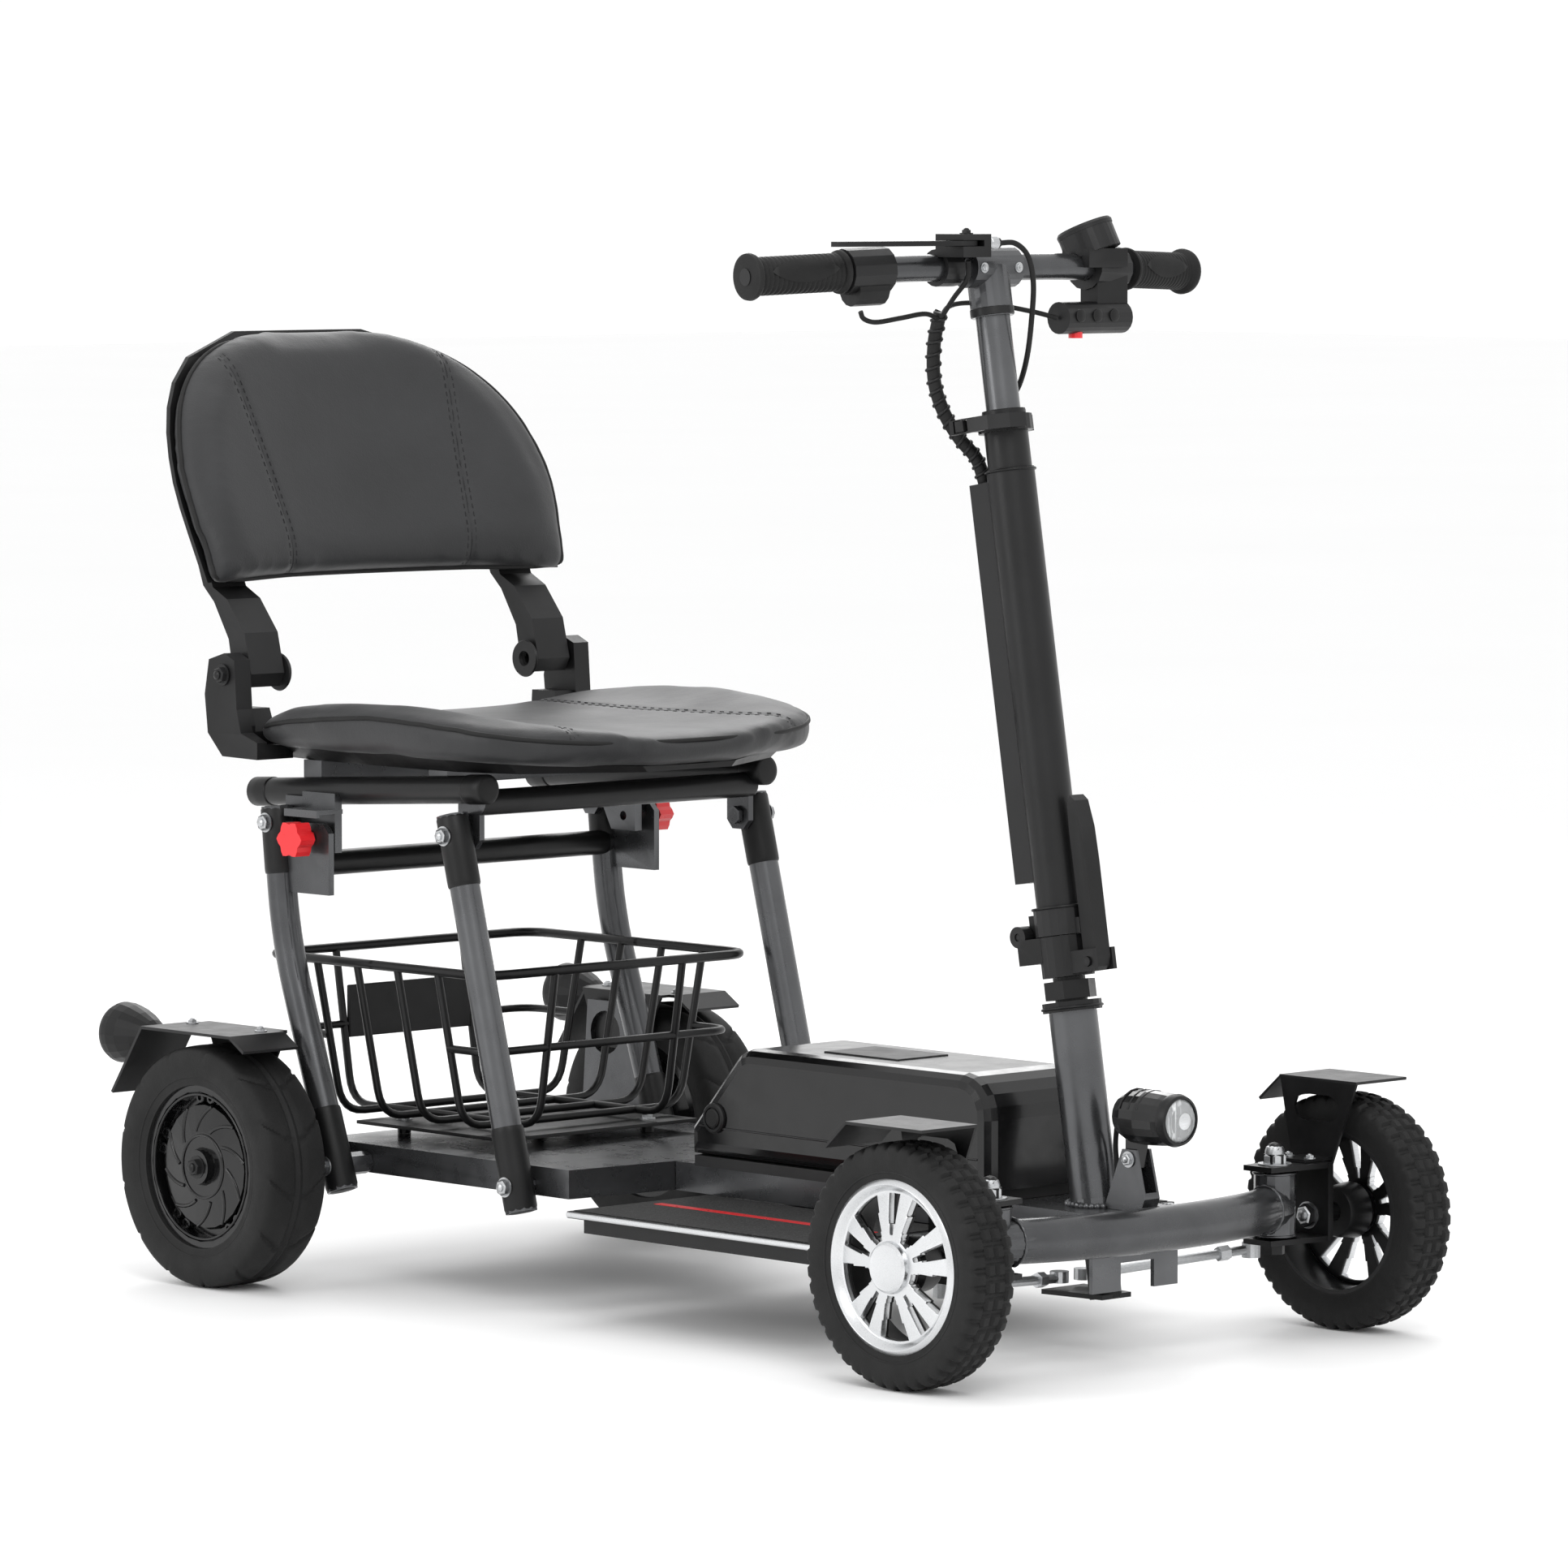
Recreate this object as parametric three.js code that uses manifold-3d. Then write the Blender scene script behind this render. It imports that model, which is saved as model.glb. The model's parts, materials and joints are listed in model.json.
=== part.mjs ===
// Folding four-wheel mobility scooter. Millimetres, +Z up, +X to the rider's left, -Y ahead.
// Parts are placed from a datum on the ground 420 mm behind the front axle; the last lines move
// the whole machine so that its origin is on the ground under the middle of its overall box.
import * as THREE from 'three';
import { mergeVertices } from 'three/addons/utils/BufferGeometryUtils.js';
import Module from 'manifold-3d';

const wasm = await Module();
wasm.setup();

// ---------------------------------------------------------------- driving dimensions
const CENTRE_Y = 66.5;
const GAP = 0.3;
const PI = Math.PI;
const HALF_PI = Math.PI / 2;

const FRONT_AXLE_Y = -420;
const FRONT_TRACK_HALF = 257;
const FRONT_WHEEL_R = 100;
const FRONT_TYRE_W = 47;
const FRONT_RIM_R = 70;
const REAR_AXLE_Y = 438;
const REAR_TRACK_HALF = 262;
const REAR_WHEEL_R = 106;
const REAR_TYRE_W = 67;
const REAR_RIM_R = 72;
const AXLE_R = 7.5;
const WHEEL_SIDES = 24;

const STEM_TILT = THREE.MathUtils.degToRad(9.5);
const STEM_GROUND_Y = -395;
const HINGE_Z = 340;
const HINGE_Y = -303;

const BEAM_LOW = 97;
const BEAM_TOP = 122;
const BEAM_HALF_W = 46;
const FRAME_HALF_W = 158;
const FRAME_FRONT_Y = 100;
const FRAME_REAR_Y = 424;
const RAIL_W = 25;

const BUMPER_R = 18.5;
const BUMPER_Z = 110;
const KINGPIN_X = 167;
const KINGPIN_R = 6;
const HOUSING_R = 17.5;
const HOUSING_LOW = 86;
const HOUSING_TOP = 140;
const ARM_EYE = [181, -380, 70];
const PITMAN_EYE = [14, -347, 60];

const LEG_BOTTOM_Z = 106;
const LEG_TOP_Z = 402.5;
const FRONT_LEG_Y = [146.5, 225];
const REAR_LEG_Y = [366, 444.5];
const FRONT_LEG_X = 176;
const REAR_LEG_X = 192;
const LEG_R = 13;
const CAP_R = 14;
const PIVOT_PIN_R = 5;

const SEAT_RAIL_X = 164;
const SEAT_RAIL_R = 12;
const SEAT_PAN_Z = 456.4;
const BACK_HINGE_Y = 498;
const BACK_HINGE_Z = 530;

const BAR_Z = 893;
const GRIP_END = [256, -226, 887];
const BAR_BEND = [90, -246, 893];
const BAR_R = 11;

// ---------------------------------------------------------------- materials
const material = (color, roughness, metalness) =>
  new THREE.MeshStandardMaterial({ color, roughness, metalness });

const finish = {
  framePaint: material(0x6b6d70, 0.45, 0.6),
  blackMetal: material(0x1b1b1c, 0.5, 0.4),
  blackPlastic: material(0x17181a, 0.5, 0.0),
  glossPlastic: material(0x101113, 0.25, 0.0),
  rubber: material(0x1c1c1d, 0.85, 0.0),
  leather: material(0x3c3e41, 0.6, 0.0),
  silver: material(0xc9cbcd, 0.3, 0.8),
  zinc: material(0xb4b6b8, 0.35, 0.9),
  deck: material(0x2b2b2c, 0.9, 0.0),
  lens: material(0xdfe6ea, 0.05, 0.0),
  redPlastic: material(0xc8141b, 0.35, 0.0),
};

const scooter = new THREE.Group();

// ---------------------------------------------------------------- solids
function solid(geometry) {
  const plain = geometry.clone();
  for (const name of Object.keys(plain.attributes)) {
    if (name !== 'position') {
      plain.deleteAttribute(name);
    }
  }
  const merged = mergeVertices(plain, 1e-4);
  const vertProperties = new Float32Array(merged.attributes.position.array);
  const triVerts = new Uint32Array(merged.index.array);
  const corner = (i) => new THREE.Vector3().fromArray(vertProperties, 3 * triVerts[i]);
  let volume = 0;
  for (let i = 0; i < triVerts.length; i += 3) {
    volume += corner(i).dot(corner(i + 1).cross(corner(i + 2)));
  }
  if (volume < 0) {
    for (let i = 0; i < triVerts.length; i += 3) {
      [triVerts[i], triVerts[i + 1]] = [triVerts[i + 1], triVerts[i]];
    }
  }
  return new wasm.Manifold(new wasm.Mesh({ numProp: 3, vertProperties, triVerts }));
}

function geometryOf(body) {
  const raw = body.getMesh();
  const geometry = new THREE.BufferGeometry();
  geometry.setAttribute('position', new THREE.BufferAttribute(raw.vertProperties, 3));
  geometry.setIndex(new THREE.BufferAttribute(raw.triVerts, 1));
  return geometry;
}

const join = (...bodies) => bodies.reduce((whole, body) => whole.add(body));
const cut = (body, ...tools) => tools.reduce((left, tool) => left.subtract(tool), body);

function addPart(name, body, look) {
  const mesh = new THREE.Mesh(geometryOf(body), look);
  mesh.name = name;
  mesh.position.y = -CENTRE_Y;
  scooter.add(mesh);
}

// The same solid on the other side of the machine.
function mirrored(body) {
  const geometry = geometryOf(body);
  geometry.scale(-1, 1, 1);
  return solid(geometry);
}

// side is 1 for the rider's left (+X) and -1 for the right; every body is drawn on the left.
const onSide = (side, body) => (side > 0 ? body : mirrored(body));

function box(x0, x1, y0, y1, z0, z1) {
  const geometry = new THREE.BoxGeometry(x1 - x0, y1 - y0, z1 - z0);
  geometry.translate((x0 + x1) / 2, (y0 + y1) / 2, (z0 + z1) / 2);
  return solid(geometry);
}

// A round bar between two points.
function rod(a, b, radius, sides = 8, endRadius = radius) {
  const from = new THREE.Vector3(...a);
  const to = new THREE.Vector3(...b);
  const along = to.clone().sub(from);
  const geometry = new THREE.CylinderGeometry(endRadius, radius, along.length(), sides);
  const up = new THREE.Vector3(0, 1, 0);
  geometry.applyQuaternion(new THREE.Quaternion().setFromUnitVectors(up, along.clone().normalize()));
  geometry.translate(...from.add(to).multiplyScalar(0.5).toArray());
  return solid(geometry);
}

const rodX = (x0, x1, y, z, radius, sides = 8) => rod([x0, y, z], [x1, y, z], radius, sides);
const rodZ = (x, y, z0, z1, radius, sides = 8) => rod([x, y, z0], [x, y, z1], radius, sides);

function ball(x, y, z, radius, sides = 12) {
  const geometry = new THREE.SphereGeometry(radius, sides, sides / 2);
  geometry.translate(x, y, z);
  return solid(geometry);
}

// A profile of [radius, distance] pairs turned about X, with distance measured along X.
function turnedX(profile, sides, x = 0, y = 0, z = 0) {
  const geometry = new THREE.LatheGeometry(profile.map((p) => new THREE.Vector2(...p)), sides);
  geometry.rotateZ(-HALF_PI);
  geometry.translate(x, y, z);
  return solid(geometry);
}

// The same, turned about Y.
function turnedY(profile, sides, x, y, z) {
  const geometry = new THREE.LatheGeometry(profile.map((p) => new THREE.Vector2(...p)), sides);
  geometry.translate(x, y, z);
  return solid(geometry);
}

function outline(points) {
  return new THREE.Shape(points.map((p) => new THREE.Vector2(...p)));
}

// A flat outline of [y, z] points, spread from x0 to x1.
function slabX(points, x0, x1) {
  const geometry = new THREE.ExtrudeGeometry(outline(points), { depth: x1 - x0, bevelEnabled: false });
  geometry.applyMatrix4(new THREE.Matrix4().set(0, 0, 1, x0, 1, 0, 0, 0, 0, 1, 0, 0, 0, 0, 0, 1));
  return solid(geometry);
}

// A flat outline of [x, y] points, spread from z0 to z1.
function slabZ(points, z0, z1) {
  const geometry = new THREE.ExtrudeGeometry(outline(points), { depth: z1 - z0, bevelEnabled: false });
  geometry.translate(0, 0, z0);
  return solid(geometry);
}

// A path of straight runs with round corners. Each corner takes a few points and each run none.
class BentPath extends THREE.Curve {
  constructor(points, bend, steps = 4) {
    super();
    const knots = points.map((p) => new THREE.Vector3(...p));
    this.points = [knots[0]];
    for (let i = 1; i < knots.length - 1; i += 1) {
      const before = knots[i - 1].clone().sub(knots[i]);
      const after = knots[i + 1].clone().sub(knots[i]);
      const reach = Math.min(bend, before.length() * 0.49, after.length() * 0.49);
      const enter = knots[i].clone().addScaledVector(before.normalize(), reach);
      const leave = knots[i].clone().addScaledVector(after.normalize(), reach);
      const corner = new THREE.QuadraticBezierCurve3(enter, knots[i], leave);
      this.points.push(...corner.getPoints(steps));
    }
    this.points.push(knots[knots.length - 1]);
  }

  get steps() {
    return this.points.length - 1;
  }

  getPoint(t) {
    const place = Math.min(t * this.steps, this.steps - 1e-9);
    const index = Math.floor(place);
    return this.points[index].clone().lerp(this.points[index + 1], place - index);
  }

  getPointAt(t) {
    return this.getPoint(t);
  }

  getTangentAt(t) {
    const index = Math.round(t * this.steps);
    const direction = new THREE.Vector3();
    if (index > 0) {
      direction.add(this.points[index].clone().sub(this.points[index - 1]).normalize());
    }
    if (index < this.steps) {
      direction.add(this.points[index + 1].clone().sub(this.points[index]).normalize());
    }
    return direction.normalize();
  }
}

function circle(radius, sides) {
  const points = [];
  for (let i = 0; i < sides; i += 1) {
    const angle = (2 * PI * i) / sides;
    points.push([radius * Math.cos(angle), radius * Math.sin(angle)]);
  }
  return outline(points);
}

function bentTube(points, radius, bend, sides = 12, steps = 4) {
  const path = new BentPath(points, bend, steps);
  const options = { steps: path.steps, extrudePath: path, curveSegments: 1 };
  return solid(new THREE.ExtrudeGeometry(circle(radius, sides), options));
}

// A limp cable through hand-placed points.
function cable(points, radius, steps, sides = 8) {
  const path = new THREE.CatmullRomCurve3(points.map((p) => new THREE.Vector3(...p)));
  const options = { steps, extrudePath: path, curveSegments: 1 };
  return solid(new THREE.ExtrudeGeometry(circle(radius, sides), options));
}

// A block whose grid of points is moved by a rule of (across, along, depth), each from -1 to 1.
function shapedBlock(countAcross, countAlong, rule) {
  const geometry = new THREE.BoxGeometry(2, 2, 2, countAcross, countAlong, 1);
  const place = geometry.attributes.position;
  for (let i = 0; i < place.count; i += 1) {
    place.setXYZ(i, ...rule(place.getX(i), place.getY(i), place.getZ(i)));
  }
  return solid(geometry);
}

// ---------------------------------------------------------------- the tilted steering axis
const stemY = (z) => STEM_GROUND_Y + z * Math.tan(STEM_TILT);
const onStem = (z) => [0, stemY(z), z];

// A point beside the stem: x across, back behind the axis, at a height measured on the axis.
function besideStem(x, back, z) {
  const centre = new THREE.Vector3(...onStem(z));
  centre.y += back * Math.cos(STEM_TILT);
  centre.z -= back * Math.sin(STEM_TILT);
  centre.x = x;
  return centre.toArray();
}

const stemRod = (z0, z1, radius, sides = 24) => rod(onStem(z0), onStem(z1), radius, sides);

// A block square to the stem: x, back from the axis, and height on the axis.
function stemBox(x0, x1, back0, back1, z0, z1) {
  const rise = (z1 - z0) / Math.cos(STEM_TILT);
  const geometry = new THREE.BoxGeometry(x1 - x0, back1 - back0, rise);
  geometry.rotateX(-STEM_TILT);
  geometry.translate(...besideStem((x0 + x1) / 2, (back0 + back1) / 2, (z0 + z1) / 2));
  return solid(geometry);
}

// ---------------------------------------------------------------- chassis
const bumperRoute = [
  [-KINGPIN_X, -420, BUMPER_Z],
  [-112, -441, BUMPER_Z],
  [-40, -453, BUMPER_Z],
  [40, -453, BUMPER_Z],
  [112, -441, BUMPER_Z],
  [KINGPIN_X, -420, BUMPER_Z],
];

function bumperTube(radius) {
  return bentTube(bumperRoute, radius, 34, 14, 2);
}

function bumper() {
  let body = bumperTube(BUMPER_R);
  for (const side of [-1, 1]) {
    const x = side * KINGPIN_X;
    body = join(body, rodZ(x, FRONT_AXLE_Y, HOUSING_LOW, HOUSING_TOP, HOUSING_R, 16));
  }
  for (const side of [-1, 1]) {
    const x = side * KINGPIN_X;
    body = cut(body, rodZ(x, FRONT_AXLE_Y, HOUSING_LOW - 1, HOUSING_TOP + 1, KINGPIN_R + 0.4, 16));
  }
  return body;
}

// The flat centre beam, with the guard plate that hangs under its front end.
function frameBeam() {
  const guardY = -417;
  const beam = box(-BEAM_HALF_W, BEAM_HALF_W, -440, FRAME_FRONT_Y - 13, BEAM_LOW, BEAM_TOP);
  const guard = box(-50, 50, guardY - 4, guardY, 57, BEAM_LOW + 2);
  const notch = box(-17, 22, guardY - 6, guardY + 2, 50, 80);
  const shaftHole = stemRod(50, 160, 14);
  return cut(join(beam, cut(guard, notch)), bumperTube(BUMPER_R + GAP), shaftHole);
}

// The head tube, welded on the beam, and the two-sided lamp bracket ahead of it.
function headTube() {
  const tube = stemRod(90, 281, 20, 20);
  const side = [[-392, 118], [-434, 118], [-440, 133], [-430, 173], [-414, 173]];
  const bracket = slabX(side, -9, 9);
  const forkSlot = box(-6.5, 6.5, -450, -410, 138, 180);
  const boltHole = rodX(-12, 12, -422, 165, 3.3, 12);
  const belowBeam = box(-60, 60, -470, -300, 60, BEAM_TOP + GAP);
  const body = join(cut(bracket, forkSlot, boltHole), tube);
  return cut(body, stemRod(80, 290, 14), belowBeam, bumperTube(BUMPER_R + GAP));
}

function headlightBody() {
  const profile = [[0, -1], [9, 0], [17, 6], [22, 18], [23, 34], [22, 54], [20.5, 66], [18, 66],
    [18, 60], [0, 60]];
  const shell = turnedY(profile.map(([r, d]) => [r, -d]).reverse(), 20, 0, -404, 200);
  const stalk = box(-6, 6, -429, -415, 158, 182);
  const bolt = rodX(-14, 14, -422, 165, 3, 12);
  return join(shell, stalk, bolt);
}

function headlightLens() {
  const profile = [[0, 0], [17.7, 0], [17.7, 7], [14, 10.5], [8, 12.5], [0, 13]];
  return turnedY(profile.map(([r, d]) => [r, -d]).reverse(), 20, 0, -404 - 60 - GAP, 200);
}

// Rear frame: two side rails, swept front rail, deck sheet, axle beam and axle bracket plates.
function rearFrame() {
  const inner = BEAM_HALF_W + GAP;
  const plan = [
    [-FRAME_HALF_W, FRAME_FRONT_Y],
    [-inner, FRAME_FRONT_Y - 12],
    [inner, FRAME_FRONT_Y - 12],
    [FRAME_HALF_W, FRAME_FRONT_Y],
    [FRAME_HALF_W, FRAME_REAR_Y],
    [-FRAME_HALF_W, FRAME_REAR_Y],
  ];
  const wall = FRAME_HALF_W - RAIL_W;
  const deck = slabZ(plan, BEAM_LOW, BEAM_TOP);
  const pocket = box(-wall, wall, FRAME_FRONT_Y + RAIL_W, FRAME_REAR_Y - RAIL_W, BEAM_LOW - 1, BEAM_TOP - 3);
  let body = cut(deck, pocket);
  body = join(body, box(-214, 214, FRAME_REAR_Y - 2, 450, 94, 119));
  const plate = [[415, 85], [492, 85], [495, 120], [488, 215], [440, 215], [422, 165], [415, 120]];
  for (const side of [-1, 1]) {
    const sheet = onSide(side, slabX(plate, 212, 217));
    const window = onSide(side, rodX(208, 222, 464, 186, 20, 20));
    const axle = onSide(side, rodX(214, 262, REAR_AXLE_Y, REAR_WHEEL_R, AXLE_R, 16));
    body = join(cut(join(body, sheet), window), axle);
  }
  for (const y of [FRONT_LEG_Y[0], REAR_LEG_Y[0]]) {
    const bore = rodX(-FRAME_HALF_W - 2, FRAME_HALF_W + 2, y, LEG_BOTTOM_Z, PIVOT_PIN_R + 2 * GAP);
    body = cut(body, bore);
  }
  const beamTongue = box(-inner, inner, 0, FRAME_FRONT_Y - 13 + GAP, BEAM_LOW - 5, BEAM_TOP + 5);
  return cut(body, beamTongue);
}

// A floor plate for one foot with the rail frame under it.
function footboard() {
  const plate = box(50, 210, -262, 44, 91, BEAM_LOW - GAP);
  const tray = box(1, 200, -250, 34, 78, 91.5);
  const hollow = box(60, 190, -238, 22, 70, 88);
  return join(plate, cut(tray, hollow));
}

// ---------------------------------------------------------------- battery
function batteryCase() {
  const profile = new THREE.Shape();
  profile.moveTo(-299, 144);
  profile.lineTo(42, 144);
  profile.lineTo(42, 152);
  profile.lineTo(-12, 212);
  profile.quadraticCurveTo(-16, 216, -24, 216);
  profile.lineTo(-276, 216);
  profile.quadraticCurveTo(-299, 214, -299, 190);
  const rounding = 12;
  const options = { depth: 124 - 2 * rounding, bevelThickness: rounding, bevelSize: rounding,
    bevelSegments: 3, curveSegments: 5 };
  const geometry = new THREE.ExtrudeGeometry(profile, options);
  const toX = new THREE.Matrix4().set(0, 0, 1, rounding - 62, 1, 0, 0, 0, 0, 1, 0, 0, 0, 0, 0, 1);
  geometry.applyMatrix4(toX);
  return solid(geometry);
}

function batteryTray() {
  return box(-58, 58, -305, 50, BEAM_TOP + GAP, 132 - GAP);
}

// ---------------------------------------------------------------- basket
const BASKET = { halfTop: 156.5, halfLow: 128, front: 210, rear: 505, top: 280, middle: 212, low: 142 };

// How far the basket has drawn in at a height, from 0 at the rim to 1 at the floor.
const drawnIn = (z) => (BASKET.top - z) / (BASKET.top - BASKET.low);

function basketRim() {
  const { halfTop, front, rear, top } = BASKET;
  const middle = (front + rear) / 2;
  const half = (end, overlap) => bentTube(
    [[-halfTop, middle + overlap, top], [-halfTop, end, top], [halfTop, end, top],
      [halfTop, middle + overlap, top]], 4.2, 28, 6, 2);
  return join(half(front, 2), half(rear, -2));
}

function basketMiddle(end, reach) {
  const z = BASKET.middle;
  const half = BASKET.halfTop - (BASKET.halfTop - BASKET.halfLow) * drawnIn(z) + 1;
  return bentTube([[-half, reach, z], [-half, end, z], [half, end, z], [half, reach, z]], 3.5, 24, 6, 2);
}

function basket() {
  const { halfTop, halfLow, front, rear, top, low } = BASKET;
  const lean = 22;
  let body = join(basketRim(), basketMiddle(front + 11, 272), basketMiddle(rear - 11, 434));
  for (const y of [272, 326, 380, 434]) {
    const cross = [[-halfTop, y, top], [-halfLow, y, low], [halfLow, y, low], [halfTop, y, top]];
    body = join(body, bentTube(cross, 3.5, 25, 6, 2));
  }
  for (const x of [-75, 75]) {
    const along = [[x, front, top], [x, front + lean, low], [x, rear - lean, low], [x, rear, top]];
    body = join(body, bentTube(along, 3.5, 25, 6, 2));
  }
  return join(body, box(-72, 72, rear - 15, rear - 3, 200, 247));
}

// The black plate between the basket and the deck, standing on four bolts.
function basketPlate() {
  let body = box(-115, 115, 235, 430, 131, 134);
  for (const x of [-80, 80]) {
    for (const y of [262, 406]) {
      body = join(body, rodZ(x, y, BEAM_TOP + GAP, 132, 6, 12));
    }
  }
  return body;
}

// ---------------------------------------------------------------- mudguards and tail lamps
function frontFender() {
  const top = box(222, 284, -461, -373, 211.5, 214);
  const flap = slabX([[-374, 211.5], [-374, 214], [-349, 192.6], [-350.6, 190.6]], 222, 284);
  const web = slabX([[-461, 212.5], [-374, 212.5], [-388, 142], [-433, 142]], 222, 224.5);
  const foot = box(190, 224.5, -433, -402, 146 + GAP, 148.8);
  const slotEnds = join(rodX(220, 226, -430, 189, 11), rodX(220, 226, -401, 189, 11));
  const slot = join(slotEnds, box(220, 226, -430, -401, 178, 200));
  return cut(join(top, flap, web, foot), slot);
}

function rearFender() {
  const sheet = [
    [372, 210], [391, 221.6], [511, 221.6], [552, 162],
    [554.5, 163.4], [512.5, 224.2], [390, 224.2], [371, 212.4],
  ];
  const top = slabX(sheet, 231, 293);
  const web = slabX([[398, 223], [505, 223], [484, 170], [426, 170]], 221, 223.6);
  const arch = rodX(219, 225, 452, 178, 20, 14);
  const lip = box(221, 233, 398, 505, 221.6, 224.2);
  const foot = slabX([[430, 172], [484, 172], [484, 205], [430, 205]], 217 + GAP, 223.6);
  return cut(join(top, web, lip, foot), arch);
}

function tailLamp() {
  const profile = [[0, 0], [8, 0], [14, 8], [20, 20], [25, 34], [27, 44], [27, 50], [22, 55], [0, 56]];
  const lamp = turnedY(profile.slice().reverse(), 20, 262, 524, 212);
  return cut(lamp, slabX([[500, 224.5], [512.8, 224.6], [555.2, 163], [480, 120]], 225, 300));
}

// ---------------------------------------------------------------- wheels
function tyreProfile(radius, width, inner) {
  const half = width / 2;
  return [
    [inner, -half * 0.84],
    [inner + 8, -half * 0.95],
    [radius - 12, -half],
    [radius - 4.5, -half * 0.86],
    [radius, -half * 0.5],
    [radius, half * 0.5],
    [radius - 4.5, half * 0.86],
    [radius - 12, half],
    [inner + 8, half * 0.95],
    [inner, half * 0.84],
    [inner, -half * 0.84],
  ];
}

function frontRim() {
  const radius = FRONT_RIM_R - GAP;
  const shell = turnedX([
    [AXLE_R + 0.5, -17], [16, -17], [18, -8], [60, -10], [63, -19.5], [radius, -19.5], [radius, 19.5],
    [66, 19.5], [60, 8], [22, 13], [21, 26], [19, 27.5], [0, 27.5], [0, 20], [AXLE_R + 0.5, 20],
    [AXLE_R + 0.5, -17],
  ], WHEEL_SIDES);
  const windows = [];
  for (let i = 0; i < 5; i += 1) {
    const angle = (2 * PI * i) / 5 + PI / 2;
    const y = 43 * Math.cos(angle);
    const z = 43 * Math.sin(angle);
    windows.push(rodX(-30, 24, y, z, 13, 6));
  }
  return cut(shell, ...windows);
}

function rearHub() {
  const radius = REAR_RIM_R - GAP;
  return turnedX([
    [AXLE_R + 0.5, -22], [24, -22], [56, -16], [62, -25], [radius, -25], [radius, 25], [66, 25],
    [63, 14], [56, 14], [54, 20], [30, 22], [17, 22], [15, 29], [0, 29], [0, 0], [AXLE_R + 0.5, 0],
    [AXLE_R + 0.5, -22],
  ], WHEEL_SIDES);
}

// ---------------------------------------------------------------- steering
// Knuckle: folded bracket, kingpin with its nuts, stub axle and steering arm.
function knuckle() {
  const plan = [[146, -404], [214, -397], [214, -443], [146, -436]];
  const topPlate = slabZ(plan, 141.5, 146);
  const lowPlate = slabZ(plan, 80, 84.5);
  const back = box(208, 214, -443, -397, 80, 146);
  const pin = rodZ(KINGPIN_X, FRONT_AXLE_Y, 71, 158, KINGPIN_R, 14);
  const topNut = rodZ(KINGPIN_X, FRONT_AXLE_Y, 145, 155, 10, 6);
  const dome = ball(KINGPIN_X, FRONT_AXLE_Y, 157, 8);
  const lowNut = rodZ(KINGPIN_X, FRONT_AXLE_Y, 71, 81, 9, 6);
  const axle = rodX(206, 276, FRONT_AXLE_Y, FRONT_WHEEL_R, AXLE_R, 14);
  const axleNut = rodX(202, 209, FRONT_AXLE_Y, FRONT_WHEEL_R, 10, 6);
  const arm = slabZ([[158, -410], [194, -410], [192, -370], [170, -370]], 80, 84.5);
  const eye = rodZ(ARM_EYE[0], ARM_EYE[1], 76, 90, 3.4, 12);
  return cut(join(topPlate, lowPlate, back, pin, topNut, dome, lowNut, axle, axleNut, arm), eye);
}

// Column shaft with its crown race and top nut, and the arm under the beam that moves the tie rods.
function steeringShaft() {
  const shaft = stemRod(46, 309, 13.5);
  const race = stemRod(281, 289, 25, 20);
  const nut = stemRod(291, 306, 22, 6);
  const armY = stemY(50);
  const arm = slabZ([[-17, armY - 13], [17, armY - 13], [25, -337], [-25, -337]], 47, 51);
  return join(shaft, race, nut, arm);
}

// Tie rod between the column arm and the steering arm, with a ball housing at each end.
function tieRod() {
  const inner = PITMAN_EYE;
  const outer = ARM_EYE;
  const along = (t) => inner.map((v, i) => v + (outer[i] - v) * t);
  return join(
    rod(inner, outer, 4, 12),
    rod(along(0.14), along(0.2), 6.5, 6),
    rod(along(0.8), along(0.86), 6.5, 6),
    rodZ(inner[0], inner[1], 56.5, 66, 8, 14),
    rodZ(outer[0], outer[1], 63, 76, 8, 14),
    rodZ(outer[0], outer[1], 70, 91, 3, 12),
    rodZ(outer[0], outer[1], 84.8, 90, 6, 6),
  );
}

// ---------------------------------------------------------------- tiller
const FOLD_LOW = 343;
const foldPin = [HINGE_Y, HINGE_Z];

function hingeLower() {
  const housing = stemRod(309 + GAP, FOLD_LOW - GAP, 22, 20);
  const cheek = stemBox(-20, 20, 0, 36, 322, FOLD_LOW - GAP);
  const lugs = [[-13, -8.8], [8.8, 13]].map(([a, b]) => stemBox(a, b, -44, -14, 311, 329));
  const knuckleGap = rodX(-9.4, 9.4, ...foldPin, 11.6, 20);
  const eyes = [[-20, -9.7], [9.7, 20]].map(([a, b]) => rodX(a, b, ...foldPin, 9, 20));
  const upperSpace = stemBox(-40, 40, -60, 24, FOLD_LOW - GAP, 372);
  const body = cut(join(cut(join(housing, cheek), upperSpace), ...eyes), knuckleGap);
  const leverBore = rod(besideStem(-20, -37, 319), besideStem(20, -37, 319), 4.4, 14);
  return cut(join(body, ...lugs), leverBore, rodX(-22, 22, ...foldPin, 3.4, 12));
}

function hingeUpper() {
  const housing = stemRod(FOLD_LOW + GAP, 366, 23.5, 20);
  const tongue = stemBox(-9, 9, 12, 30, FOLD_LOW + GAP, 362);
  const barrel = rodX(-9, 9, ...foldPin, 9, 20);
  const latchLug = stemBox(-8, 8, -29, -15, FOLD_LOW + GAP, 356);
  const clearRear = [[-24, -9.4], [9.4, 24]].map(([a, b]) => rodX(a, b, ...foldPin, 12, 20));
  const tubeBore = stemRod(366 - 12, 380, 20.5);
  const body = cut(join(housing, latchLug), ...clearRear);
  const leverRoom = stemBox(-30, 30, -60, -27.5, 300, 400);
  return cut(join(body, tongue, barrel, rodX(-19, 19, ...foldPin, 3, 12)), leverRoom, tubeBore);
}

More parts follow.
